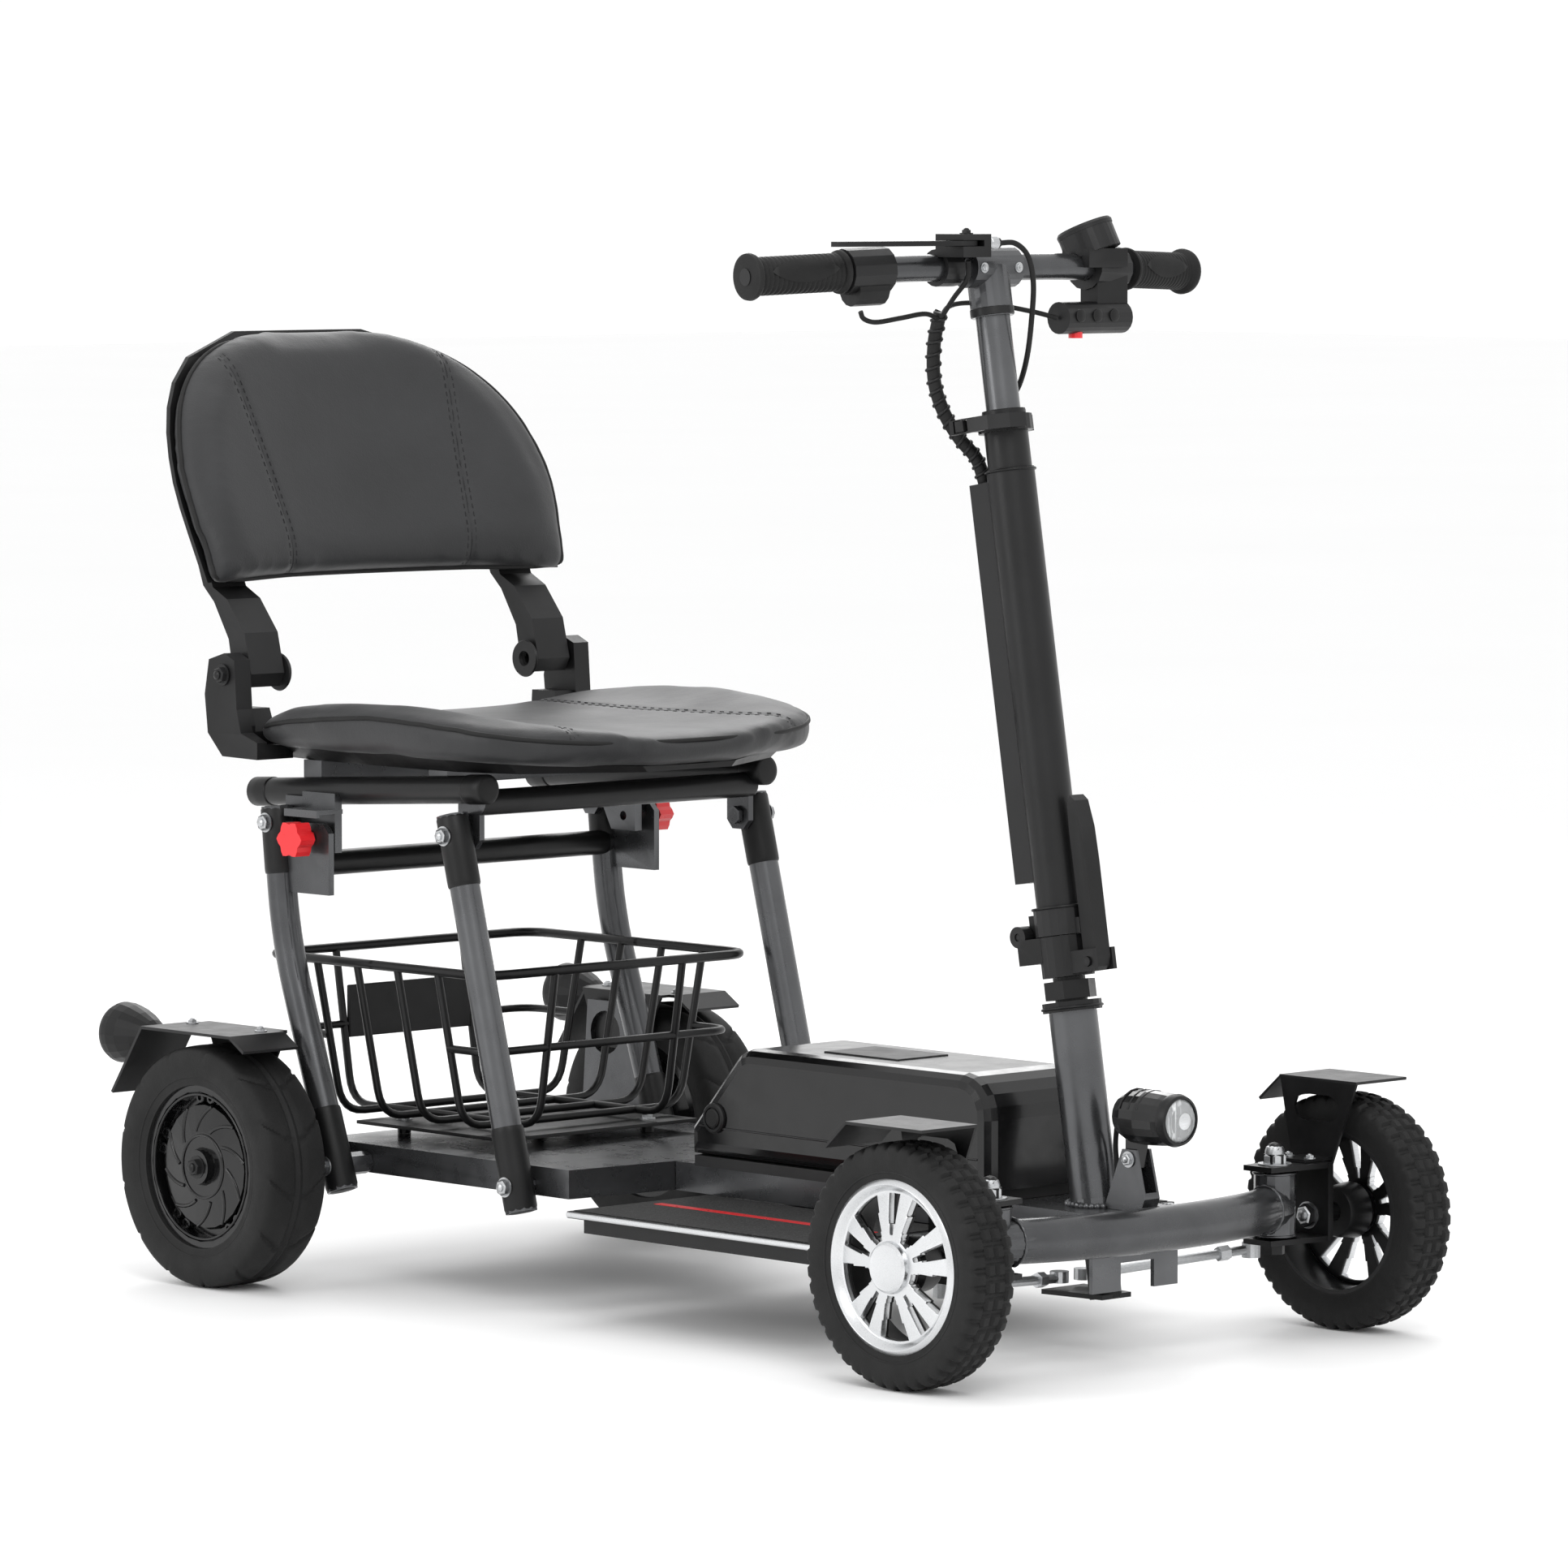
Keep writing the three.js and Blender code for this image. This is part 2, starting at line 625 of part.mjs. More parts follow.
function foldLever() {
  const side = [
    [-36, 311], [-30, 314], [-28.2, 322], [-28.2, 392], [-27.6, 425], [-29, 448], [-33, 455], [-38, 450],
    [-42, 428], [-43, 400], [-43, 322], [-41, 314],
  ];
  const paddle = side.map(([back, z]) => besideStem(0, back, z).slice(1));
  return join(slabX(paddle, -8, 8), rod(besideStem(-15, -37, 319), besideStem(15, -37, 319), 4, 16));
}

function stemTube() {
  const tube = stemRod(366 - 12 + GAP, 727, 20, 20);
  const sleeve = stemRod(720, 775, 18.2, 20);
  return cut(join(tube, sleeve), stemRod(440, 790, 15.2, 18));
}

// Sheet channel behind the stem that carries the cables; its top is open.
function cableCover() {
  const shell = stemBox(-13, 13, 14, 37, 389, 718);
  const inside = stemBox(-11, 11, 10, 35, 391, 730);
  return cut(shell, inside, stemRod(380, 740, 20 + GAP, 20));
}

function collar() {
  const ring = stemRod(757, 770, 23.2, 20);
  const ear = stemBox(-46, -16, 3, 12.5, 759, 768);
  const lug = stemBox(15, 27, -6, 6, 757, 770);
  const slot = stemBox(-30, -10, 8, 10, 750, 780);
  return cut(join(ring, ear, lug), stemRod(750, 780, 18.2 + GAP, 20), slot);
}

function collarLever() {
  const outer = [[-45, 20], [-45, 4], [-38, -18], [-24, -30], [-8, -33]];
  const inner = [[-8, -29.5], [-22, -26], [-33, -15], [-38, 1], [-38, 20]];
  const shape = outline([...outer, ...inner]);
  const geometry = new THREE.ExtrudeGeometry(shape, { depth: 12, bevelEnabled: false });
  geometry.translate(0, 0, -6);
  geometry.rotateX(-STEM_TILT);
  geometry.translate(...besideStem(0, 0, 763.5));
  const strap = solid(geometry);
  return cut(strap, stemBox(-47, -15, 0.2, 15.4, 758.4, 768.6));
}

// ---------------------------------------------------------------- handlebar
function stemUpper() {
  return cut(stemRod(560, 870, 14.2, 18), stemRod(550, 860, 11.5, 20));
}

function handlebar() {
  const end = gripPoint(gripT(252));
  const bar = bentTube([
    [-end[0], end[1], end[2]],
    [-BAR_BEND[0], BAR_BEND[1], BAR_BEND[2]],
    BAR_BEND,
    end,
  ], BAR_R, 24, 14, 3);
  const clamp = rodX(-27, 27, BAR_BEND[1], BAR_Z, 17, 20);
  const socket = rod(onStem(852), onStem(BAR_Z), 18, 20);
  return cut(join(bar, clamp, socket), stemRod(848, 870 + GAP, 14.2 + GAP, 18));
}

// The straight line of a grip, from the bend to the bar's end; t runs from 0 to 1.
const gripPoint = (t) => BAR_BEND.map((v, i) => v + (GRIP_END[i] - v) * t);
const gripT = (x) => (x - BAR_BEND[0]) / (GRIP_END[0] - BAR_BEND[0]);

function sleeveOnBar(x0, x1, radius, sides = 16) {
  const body = rod(gripPoint(gripT(x0)), gripPoint(gripT(x1)), radius, sides);
  return cut(body, rod(gripPoint(0), gripPoint(gripT(252.4)), BAR_R + 0.4, 16));
}

function grip(x0) {
  return join(sleeveOnBar(x0, 254, 16.2), sleeveOnBar(250, 256, 19.6));
}

function throttleHousing() {
  const ring = rod(gripPoint(gripT(116)), gripPoint(gripT(158)), 19, 14);
  const belly = rod([120, -242, 878], [150, -238, 877], 15, 14);
  return cut(join(ring, belly), rod(gripPoint(0), gripPoint(1), BAR_R + 0.4, 16));
}

function brakePerch() {
  const band = rodX(-60, -40, BAR_BEND[1], BAR_Z, 15.5, 20);
  const block = box(-64, -32, -283, -250, 902, 921);
  const adjuster = rodX(-33, -18, -277, 913.5, 4.5, 12);
  const leverSlot = box(-70, -40, -300, -261, 910.9, 916.1);
  const bore = rodX(-80, -30, BAR_BEND[1], BAR_Z, BAR_R + 0.5, 14);
  return cut(join(band, block, adjuster), leverSlot, bore, rodZ(-52, -274, 890, 925, 3.4));
}

function brakeLever() {
  const plan = [
    [-44, -279], [-44, -269.5], [-60, -267.5], [-104, -267], [-150, -267], [-188, -263], [-197, -265],
    [-197, -274], [-188, -276], [-150, -279], [-104, -280], [-64, -281],
  ];
  return join(slabZ(plan, 911.4, 915.6), rodZ(-52, -274, 904, 923, 3, 12));
}

// Display head, bar clamp and key barrel, moulded as one housing.
function controlPod() {
  const clampRing = rod(gripPoint(gripT(118)), gripPoint(gripT(160)), 19, 14);
  const display = rod([126, -246, 903], [122, -238, 924], 24, 28);
  const neck = box(104, 150, -262, -230, 892, 908);
  const barrel = rodX(80, 155, -250, 850, 13.5, 20);
  const web = box(120, 156, -256, -236, 850, 888);
  const boreA = rod(gripPoint(0), gripPoint(1), BAR_R + 0.4, 14);
  const body = join(clampRing, display, neck, barrel, web);
  return cut(body, boreA, rodZ(100, -250, 828, 842, 6.6, 14));
}

function podButton() {
  return rodZ(100, -250, 833, 840.2, 6, 14);
}

// ---------------------------------------------------------------- cables
const harnessRoute = [
  [-38, -229, 856], [-39, -223, 830], [-36, -220, 800], [-30, -224, 775], [-21, -234, 752],
  [-9, -243, 734], [-3.5, -248, 712],
];
const leadRoutes = [
  [
    [-140, -240, 858], [-136, -240, 852], [-120, -238, 849],
    [-90, -236, 852], [-60, -234, 855], [-40, -230, 850],
  ],
  [[-46, -270, 899], [-43, -266, 884], [-39, -246, 868], [-38, -231, 852]],
  [[78, -250, 850], [62, -240, 855], [36, -222, 861], [10, -212, 863], [-16, -216, 860], [-35, -227, 850]],
];
const brakeRoute = [
  [-17, -277, 913.5], [-3, -282, 913], [10, -284, 902], [17, -283, 880], [19, -279, 850], [21, -272, 820],
  [26, -258, 796], [26, -244, 778], [18, -238, 756], [9, -243, 732], [7, -248, 712],
];

function wiringHarness() {
  const trunk = cable(harnessRoute, 6.5, 14, 8);
  return join(trunk, ...leadRoutes.map((route) => cable(route, 2.2, 9, 6)));
}

// ---------------------------------------------------------------- seat frame and legs
function legAxis(ys) {
  return new THREE.Vector3(0, ys[1] - ys[0], LEG_TOP_Z - LEG_BOTTOM_Z);
}

function frontLeg() {
  const along = legAxis(FRONT_LEG_Y);
  const length = along.length();
  const point = (d) => [
    FRONT_LEG_X,
    FRONT_LEG_Y[0] + (along.y * d) / length,
    LEG_BOTTOM_Z + (along.z * d) / length,
  ];
  const body = [
    rod(point(-22), point(length + 17), LEG_R, 12),
    rod(point(-23), point(50), CAP_R, 12),
    rod(point(length - 44), point(length + 18), CAP_R, 12),
    rodX(138, 193, FRONT_LEG_Y[0], LEG_BOTTOM_Z, PIVOT_PIN_R),
    rodX(150, 193, FRONT_LEG_Y[1], LEG_TOP_Z, PIVOT_PIN_R),
    rodX(189, 194, FRONT_LEG_Y[0], LEG_BOTTOM_Z, 7),
    rodX(189, 194, FRONT_LEG_Y[1], LEG_TOP_Z, 7),
    rodX(150, 154.5, FRONT_LEG_Y[1], LEG_TOP_Z, 8, 6),
  ];
  return join(...body);
}

// Both rear legs with the tube between them and the hook plates in front.
const REAR_BEND = [434, 300];
const KNOB = [396, 391];

function rearLegs() {
  const low = new THREE.Vector2(REAR_LEG_Y[0], LEG_BOTTOM_Z);
  const bend = new THREE.Vector2(...REAR_BEND);
  const heel = low.clone().addScaledVector(bend.clone().sub(low).normalize(), -23);
  const cuff = low.clone().addScaledVector(bend.clone().sub(low).normalize(), 50);
  const x = REAR_LEG_X;
  const head = LEG_TOP_Z + 14;
  let body = rodX(-x, x, 436, 364, 11, 20);
  for (const side of [-1, 1]) {
    const leg = join(
      bentTube([
        [x, heel.x + 0.3, heel.y + 1],
        [x, ...REAR_BEND],
        [x, REAR_LEG_Y[1] + 0.5, head - 2],
      ], LEG_R, 46, 12, 3),
      rod([x, heel.x, heel.y], [x, cuff.x, cuff.y], CAP_R, 12),
      rod([x, 440, LEG_TOP_Z - 44], [x, REAR_LEG_Y[1] + 1, head], CAP_R, 12),
      slabX([[372, 342], [434, 342], [434, 404], [380, 404], [372, 396]], x - 3, x + 3),
      rodX(FRAME_HALF_W + 0.6, x, REAR_LEG_Y[0], LEG_BOTTOM_Z, 10),
      rodX(138, x + 17, REAR_LEG_Y[0], LEG_BOTTOM_Z, PIVOT_PIN_R),
      rodX(x + 13, x + 18, REAR_LEG_Y[0], LEG_BOTTOM_Z, 7),
      rodX(165, x + 17, REAR_LEG_Y[1], LEG_TOP_Z, PIVOT_PIN_R),
      rodX(x + 13, x + 18, REAR_LEG_Y[1], LEG_TOP_Z, 7),
    );
    body = join(body, onSide(side, cut(leg, rodX(x - 8, x + 8, ...KNOB, 4.4))));
  }
  return body;
}

const seatRailZ = (y) => 443 - 0.06 * (y - 196.5);

function seatFrame() {
  const pieces = [];
  pieces.push(rodX(-161, 161, 215, 430, 11, 20));
  for (const y of [262, 430]) {
    const z = seatRailZ(y) + 6;
    pieces.push(box(-SEAT_RAIL_X, SEAT_RAIL_X, y - 12, y + 12, z, SEAT_PAN_Z - GAP));
  }
  for (const side of [-1, 1]) {
    const x = SEAT_RAIL_X;
    pieces.push(rod([side * x, 196.5, seatRailZ(196.5)], [side * x, 506, seatRailZ(506)], SEAT_RAIL_R, 20));
    const frontLug = slabX([
      [211, 398], [218, 390], [232, 390], [239, 398], [239, 440], [211, 440],
    ], 155.4, 161);
    const rearLug = slabX([
      [427, 398], [433, 390.5], [445, 390.5], [451, 398], [451, 425], [427, 425],
    ], 171, 177.5);
    const hood = box(198.5, 202, 380, 424, 409.5, 416);
    const roof = box(172, 202, 380, 424, 412, 416);
    const inside = slabX([[380, 378], [412, 378], [424, 400], [424, 430], [380, 430]], 173, 181);
    pieces.push(...[frontLug, rearLug, hood, roof, inside].map((piece) => onSide(side, piece)));
  }
  let body = join(...pieces);
  for (const side of [-1, 1]) {
    const bores = [
      rodX(150, 165, FRONT_LEG_Y[1], LEG_TOP_Z, PIVOT_PIN_R + 2 * GAP),
      rodX(165, 190, REAR_LEG_Y[1], LEG_TOP_Z, PIVOT_PIN_R + 2 * GAP),
      rodX(170, 188, ...KNOB, 4.4),
    ];
    body = cut(body, ...bores.map((bore) => onSide(side, bore)));
  }
  return body;
}

// Six-lobed clamping knob with its screw.
function clampKnob() {
  const points = [];
  for (let i = 0; i < 24; i += 1) {
    const angle = (2 * PI * i) / 24;
    const radius = 15 + 1.8 * Math.cos(6 * angle);
    points.push([KNOB[0] + radius * Math.cos(angle), KNOB[1] + radius * Math.sin(angle)]);
  }
  const x = REAR_LEG_X + 12;
  return join(slabX(points, x, x + 16), rodX(x - 8, x + 2, ...KNOB, 7), rodX(184.5, x, ...KNOB, 4, 12));
}

// ---------------------------------------------------------------- seat
const SEAT = { front: 97, rear: 475, half: 215 };

function seatHalfWidth(along) {
  const nose = Math.max(0, -along - 0.05) / 0.95;
  const tail = Math.max(0, along - 0.3) / 0.7;
  return SEAT.half * (1 - nose ** 3.2) ** 0.42 * (1 - 0.07 * tail ** 2);
}

const seatY = (along) => SEAT.front + ((along + 1) / 2) * (SEAT.rear - SEAT.front);

// Height of the cushion's upper skin: a dished pan between two raised wings.
function seatTop(across, along) {
  const pan = 487 - 3 * Math.max(0, -along) ** 2 + 2 * Math.max(0, along);
  const wing = 521 - 30 * Math.max(0, -along - 0.1) ** 1.6 - 20 * Math.max(0, along) ** 1.8;
  return pan + (wing - pan) * Math.abs(across) ** 2.6;
}

// Height of the cushion's underside, which rises towards both sides.
const seatUnder = (x) => 461.5 + 11 * (x / SEAT.half) ** 2;

function seatCushion(grow = 0) {
  return shapedBlock(10, 10, (across, along, depth) => {
    const half = seatHalfWidth(Math.max(-0.985, along)) * (depth > 0 ? 1 : 0.96);
    const x = across * (half + grow);
    const y = seatY(along) + grow * Math.sign(along);
    return [x, y, depth > 0 ? seatTop(across, along) + 20 * grow : seatUnder(x) - grow / 2];
  });
}

// Moulded pan under the cushion, with an upright at each rear corner that carries the back's hinge.
function seatShell() {
  const pan = shapedBlock(6, 6, (across, along, depth) => {
    const x = across * (seatHalfWidth(Math.max(-0.97, along)) - 26) * (depth > 0 ? 1 : 0.9);
    const y = seatY(along) + (along < 0 ? 22 : -2) * Math.abs(along);
    return [x, y, depth > 0 ? seatUnder(x) - 2 * GAP : SEAT_PAN_Z];
  });
  const tail = [
    [452, 457], [500, 458], [520, 478], [524, 512], [518, 543],
    [497, 549], [483, 543], [480, 500], [474, 478], [452, 470],
  ];
  let body = join(pan, box(-186, 186, 462, 484, 457, 474));
  for (const side of [-1, 1]) {
    const cheek = slabX(tail, 191, 209);
    const root = slabX([
      [452, 457], [500, 458], [516, 474], [514, 500], [484, 500], [476, 480], [452, 472],
    ], 168, 209);
    const pin = rodX(170, 212, BACK_HINGE_Y, BACK_HINGE_Z, 5);
    body = join(body, ...[cheek, root, pin].map((piece) => onSide(side, piece)));
  }
  return cut(body, seatCushion(1));
}

// ---------------------------------------------------------------- backrest
const BACK = { low: 606, top: 832, half: 221, wrap: 42, lean: 0.41 };

function backHalfWidth(z) {
  const t = Math.max(0, (z - 645) / (BACK.top - 645));
  const waist = 1 - 0.05 * Math.max(0, (690 - z) / 86);
  return BACK.half * (1 - Math.min(t, 0.9995) ** 2.9) ** (1 / 2.7) * waist;
}

// Middle of the padded back at a place: leaning rearward with height and curling forward at the sides.
const backY = (x, z) => 539 + BACK.lean * (z - BACK.low) - BACK.wrap * (x / BACK.half) ** 2;

function backBlock(countAcross, countUp, front, rear, trim) {
  return shapedBlock(countAcross, countUp, (across, up, depth) => {
    const z = BACK.low + trim + ((up + 1) / 2) * (BACK.top - BACK.low - 2 * trim);
    const x = across * Math.max(12, backHalfWidth(z) - trim);
    return [x, backY(x, z) + (depth > 0 ? rear : front), z];
  });
}

// Moulded back panel with two arms that reach down to the hinge.
function backrestShell() {
  const panel = backBlock(10, 10, 18, 23, 4);
  const arm = slabX([
    [485, 530], [491, 518], [503, 518], [510, 530], [516, 560], [536, 592], [551, 606], [564, 640],
    [552, 640], [537.5, 605], [518, 595], [494, 566],
  ], 150, 188);
  const pinBore = rodX(140, 190, BACK_HINGE_Y, BACK_HINGE_Z, 5.8);
  let body = panel;
  for (const side of [-1, 1]) {
    body = join(body, onSide(side, cut(arm, pinBore)));
  }
  return body;
}

function backrestCushion() {
  return backBlock(10, 10, -18, 16.5, 0);
}

// ---------------------------------------------------------------- assembly
addPart('frame_beam', frameBeam(), finish.framePaint);
addPart('bumper_tube', bumper(), finish.framePaint);
addPart('head_tube', headTube(), finish.framePaint);
addPart('rear_frame', rearFrame(), finish.framePaint);
addPart('battery_case', batteryCase(), finish.glossPlastic);
addPart('battery_tray', batteryTray(), finish.blackPlastic);
addPart('basket', basket(), finish.blackMetal);
addPart('basket_plate', basketPlate(), finish.blackMetal);
addPart('headlight_body', headlightBody(), finish.glossPlastic);
addPart('headlight_lens', headlightLens(), finish.lens);
addPart('steering_shaft', steeringShaft(), finish.blackMetal);
addPart('hinge_lower', hingeLower(), finish.blackMetal);
addPart('hinge_upper', hingeUpper(), finish.blackMetal);
addPart('fold_lever', foldLever(), finish.blackPlastic);
addPart('stem_tube', stemTube(), finish.blackMetal);
addPart('cable_cover', cableCover(), finish.blackPlastic);
addPart('collar', collar(), finish.blackMetal);
addPart('collar_lever', collarLever(), finish.blackMetal);
addPart('stem_upper', stemUpper(), finish.framePaint);
addPart('handlebar', handlebar(), finish.framePaint);
addPart('grip_left', grip(172), finish.rubber);
addPart('throttle_grip', mirrored(grip(160)), finish.rubber);
addPart('throttle_housing', mirrored(throttleHousing()), finish.blackPlastic);
addPart('brake_perch', brakePerch(), finish.blackMetal);
addPart('brake_lever', brakeLever(), finish.blackMetal);
addPart('control_pod', controlPod(), finish.blackPlastic);
addPart('pod_button', podButton(), finish.redPlastic);
addPart('wiring_harness', wiringHarness(), finish.rubber);
addPart('brake_cable', cable(brakeRoute, 2.4, 22, 8), finish.rubber);
addPart('rear_legs', rearLegs(), finish.framePaint);
addPart('seat_frame', seatFrame(), finish.framePaint);
addPart('seat_shell', seatShell(), finish.blackPlastic);
addPart('seat_cushion', seatCushion(), finish.leather);
addPart('backrest_shell', backrestShell(), finish.blackPlastic);
addPart('backrest_cushion', backrestCushion(), finish.leather);

for (const side of [1, -1]) {
  const name = side > 0 ? 'left' : 'right';
  const frontTyre = turnedX(tyreProfile(FRONT_WHEEL_R, FRONT_TYRE_W, FRONT_RIM_R), WHEEL_SIDES);
  const rearTyre = turnedX(tyreProfile(REAR_WHEEL_R, REAR_TYRE_W, REAR_RIM_R), WHEEL_SIDES);
  const wheels = [
    [`front_tyre_${name}`, frontTyre, finish.rubber, FRONT_TRACK_HALF, FRONT_AXLE_Y, FRONT_WHEEL_R],
    [`front_rim_${name}`, frontRim(), finish.silver, FRONT_TRACK_HALF, FRONT_AXLE_Y, FRONT_WHEEL_R],
    [`rear_tyre_${name}`, rearTyre, finish.rubber, REAR_TRACK_HALF, REAR_AXLE_Y, REAR_WHEEL_R],
    [`rear_hub_${name}`, rearHub(), finish.glossPlastic, REAR_TRACK_HALF, REAR_AXLE_Y, REAR_WHEEL_R],
  ];
  for (const [node, body, look, x, y, z] of wheels) {
    const placed = geometryOf(body);
    placed.translate(x, y, z);
    addPart(node, onSide(side, solid(placed)), look);
  }
  addPart(`knuckle_${name}`, onSide(side, knuckle()), finish.blackMetal);
  addPart(`front_fender_${name}`, onSide(side, frontFender()), finish.blackMetal);
  addPart(`tie_rod_${name}`, onSide(side, tieRod()), finish.zinc);
  addPart(`footboard_${name}`, onSide(side, footboard()), finish.deck);
  addPart(`rear_fender_${name}`, onSide(side, rearFender()), finish.blackMetal);
  addPart(`tail_lamp_${name}`, onSide(side, tailLamp()), finish.blackPlastic);
  addPart(`front_leg_${name}`, onSide(side, frontLeg()), finish.framePaint);
  addPart(`seat_knob_${name}`, onSide(side, clampKnob()), finish.redPlastic);
}

export default scooter;
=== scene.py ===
"""Visual model of a folding mobility scooter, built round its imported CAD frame. Metres, +Z up."""
import json
import math

import bmesh
import bpy
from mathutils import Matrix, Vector
from mathutils.bvhtree import BVHTree


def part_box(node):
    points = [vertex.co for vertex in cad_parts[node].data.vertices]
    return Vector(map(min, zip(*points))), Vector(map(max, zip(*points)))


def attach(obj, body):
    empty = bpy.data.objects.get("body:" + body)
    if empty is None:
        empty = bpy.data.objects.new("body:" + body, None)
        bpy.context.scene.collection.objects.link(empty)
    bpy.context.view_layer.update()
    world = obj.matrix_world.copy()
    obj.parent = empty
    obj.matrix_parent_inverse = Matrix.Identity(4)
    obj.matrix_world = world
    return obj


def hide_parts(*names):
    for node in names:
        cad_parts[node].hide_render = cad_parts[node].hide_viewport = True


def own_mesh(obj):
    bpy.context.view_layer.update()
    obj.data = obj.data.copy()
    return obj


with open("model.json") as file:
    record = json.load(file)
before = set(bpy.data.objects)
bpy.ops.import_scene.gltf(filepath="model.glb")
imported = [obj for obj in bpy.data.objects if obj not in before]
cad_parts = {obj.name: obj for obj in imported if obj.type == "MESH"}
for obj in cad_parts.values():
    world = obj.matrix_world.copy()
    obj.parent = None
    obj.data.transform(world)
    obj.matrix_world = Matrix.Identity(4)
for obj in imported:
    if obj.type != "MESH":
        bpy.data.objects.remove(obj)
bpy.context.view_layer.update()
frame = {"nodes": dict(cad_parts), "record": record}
NODES = frame["nodes"]
SIDES = (("left", 1), ("right", -1))
CENTRE_Y = 66.5
MM = 0.001


def at(x, y, z):
    """A point in metres from millimetres measured on the CAD datum."""
    return Vector((x * MM, (y - CENTRE_Y) * MM, z * MM))


def corners(node):
    """The lowest and the highest corner of a CAD node."""
    return (Vector(corner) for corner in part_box(node))


def circle(count):
    """Evenly spaced angles round a full turn."""
    return [2 * math.pi * k / count for k in range(count)]


# ---------------------------------------------------------------- materials
def shader(name):
    """A new material with its node tree, principled shader and object coordinates."""
    material = bpy.data.materials.new(name)
    material.use_nodes = True
    nodes = material.node_tree.nodes
    place = nodes.new("ShaderNodeTexCoord")
    return material, nodes, material.node_tree.links, nodes["Principled BSDF"], place.outputs["Object"]


def noise(nodes, links, place, scale, detail=4.0, roughness=0.6):
    """A noise texture's value."""
    texture = nodes.new("ShaderNodeTexNoise")
    texture.inputs["Scale"].default_value = scale
    texture.inputs["Detail"].default_value = detail
    texture.inputs["Roughness"].default_value = roughness
    links.new(place, texture.inputs["Vector"])
    return texture.outputs["Fac"]


def ramp(nodes, links, value, stops):
    """A colour ramp through (position, colour) stops."""
    node = nodes.new("ShaderNodeValToRGB")
    elements = node.color_ramp.elements
    elements[0].position, elements[0].color = stops[0][0], (*stops[0][1], 1.0)
    elements[1].position, elements[1].color = stops[-1][0], (*stops[-1][1], 1.0)
    for position, colour in stops[1:-1]:
        elements.new(position).color = (*colour, 1.0)
    links.new(value, node.inputs["Fac"])
    return node.outputs["Color"]


def spread(nodes, links, value, low, high):
    """A noise value stretched over the range from low to high."""
    node = nodes.new("ShaderNodeMapRange")
    node.inputs["From Min"].default_value = 0.3
    node.inputs["From Max"].default_value = 0.7
    node.inputs["To Min"].default_value = low
    node.inputs["To Max"].default_value = high
    links.new(value, node.inputs["Value"])
    return node.outputs["Result"]


def bump(nodes, links, height, strength, distance, below=None):
    node = nodes.new("ShaderNodeBump")
    node.inputs["Strength"].default_value = strength
    node.inputs["Distance"].default_value = distance
    links.new(height, node.inputs["Height"])
    if below is not None:
        links.new(below, node.inputs["Normal"])
    return node.outputs["Normal"]


def finish(name, dark, light, rough, metal=0.0, grain=900.0, depth=0.0002, strength=0.25, coat=0.0):
    """A solid finish: cloudy colour, uneven gloss, a fine grain, and a painted highlight that lightens sharp
    edges.
    """
    material, nodes, links, base, place = shader(name)
    cloud = noise(nodes, links, place, 14.0)
    tone = ramp(nodes, links, cloud, [(0.3, dark), (0.7, light)])
    # Painted highlight: sharp edges, found by pointiness, get a paler base colour that stands in for light
    # glinting on them.
    pointed = nodes.new("ShaderNodeNewGeometry").outputs["Pointiness"]
    edge = nodes.new("ShaderNodeMapRange")
    edge.inputs["From Min"].default_value = 0.54
    edge.inputs["From Max"].default_value = 0.62
    edge.inputs["To Max"].default_value = 0.35
    links.new(pointed, edge.inputs["Value"])
    painted_edge_highlight = nodes.new("ShaderNodeMix")
    painted_edge_highlight.data_type = "RGBA"
    painted_edge_highlight.inputs["B"].default_value = (*[min(1.0, c * 1.8 + 0.02) for c in light], 1.0)
    links.new(edge.outputs["Result"], painted_edge_highlight.inputs["Factor"])
    links.new(tone, painted_edge_highlight.inputs["A"])
    links.new(painted_edge_highlight.outputs["Result"], base.inputs["Base Color"])
    patch = noise(nodes, links, place, 45.0)
    links.new(spread(nodes, links, patch, rough - 0.05, rough + 0.07), base.inputs["Roughness"])
    fine = noise(nodes, links, place, grain, 2.0)
    links.new(bump(nodes, links, fine, strength, depth), base.inputs["Normal"])
    base.inputs["Metallic"].default_value = metal
    base.inputs["Specular IOR Level"].default_value = 0.28
    base.inputs["Coat Weight"].default_value = coat
    base.inputs["Coat Roughness"].default_value = 0.12
    return material


def leather(name):
    """Soft synthetic leather: pebbled grain over slow waves, with paler worn places."""
    material, nodes, links, base, place = shader(name)
    slow = noise(nodes, links, place, 9.0)
    tone = ramp(nodes, links, slow, [(0.3, (0.013, 0.0133, 0.0142)), (0.7, (0.023, 0.0235, 0.025))])
    links.new(tone, base.inputs["Base Color"])
    cell = nodes.new("ShaderNodeTexVoronoi")
    cell.inputs["Scale"].default_value = 620.0
    links.new(place, cell.inputs["Vector"])
    pebble = bump(nodes, links, cell.outputs["Distance"], 0.22, 0.0004)
    wave = noise(nodes, links, place, 26.0, 3.0)
    links.new(bump(nodes, links, wave, 0.16, 0.004, pebble), base.inputs["Normal"])
    links.new(spread(nodes, links, slow, 0.44, 0.56), base.inputs["Roughness"])
    base.inputs["Specular IOR Level"].default_value = 0.4
    base.inputs["Sheen Weight"].default_value = 0.06
    base.inputs["Sheen Roughness"].default_value = 0.5
    return material


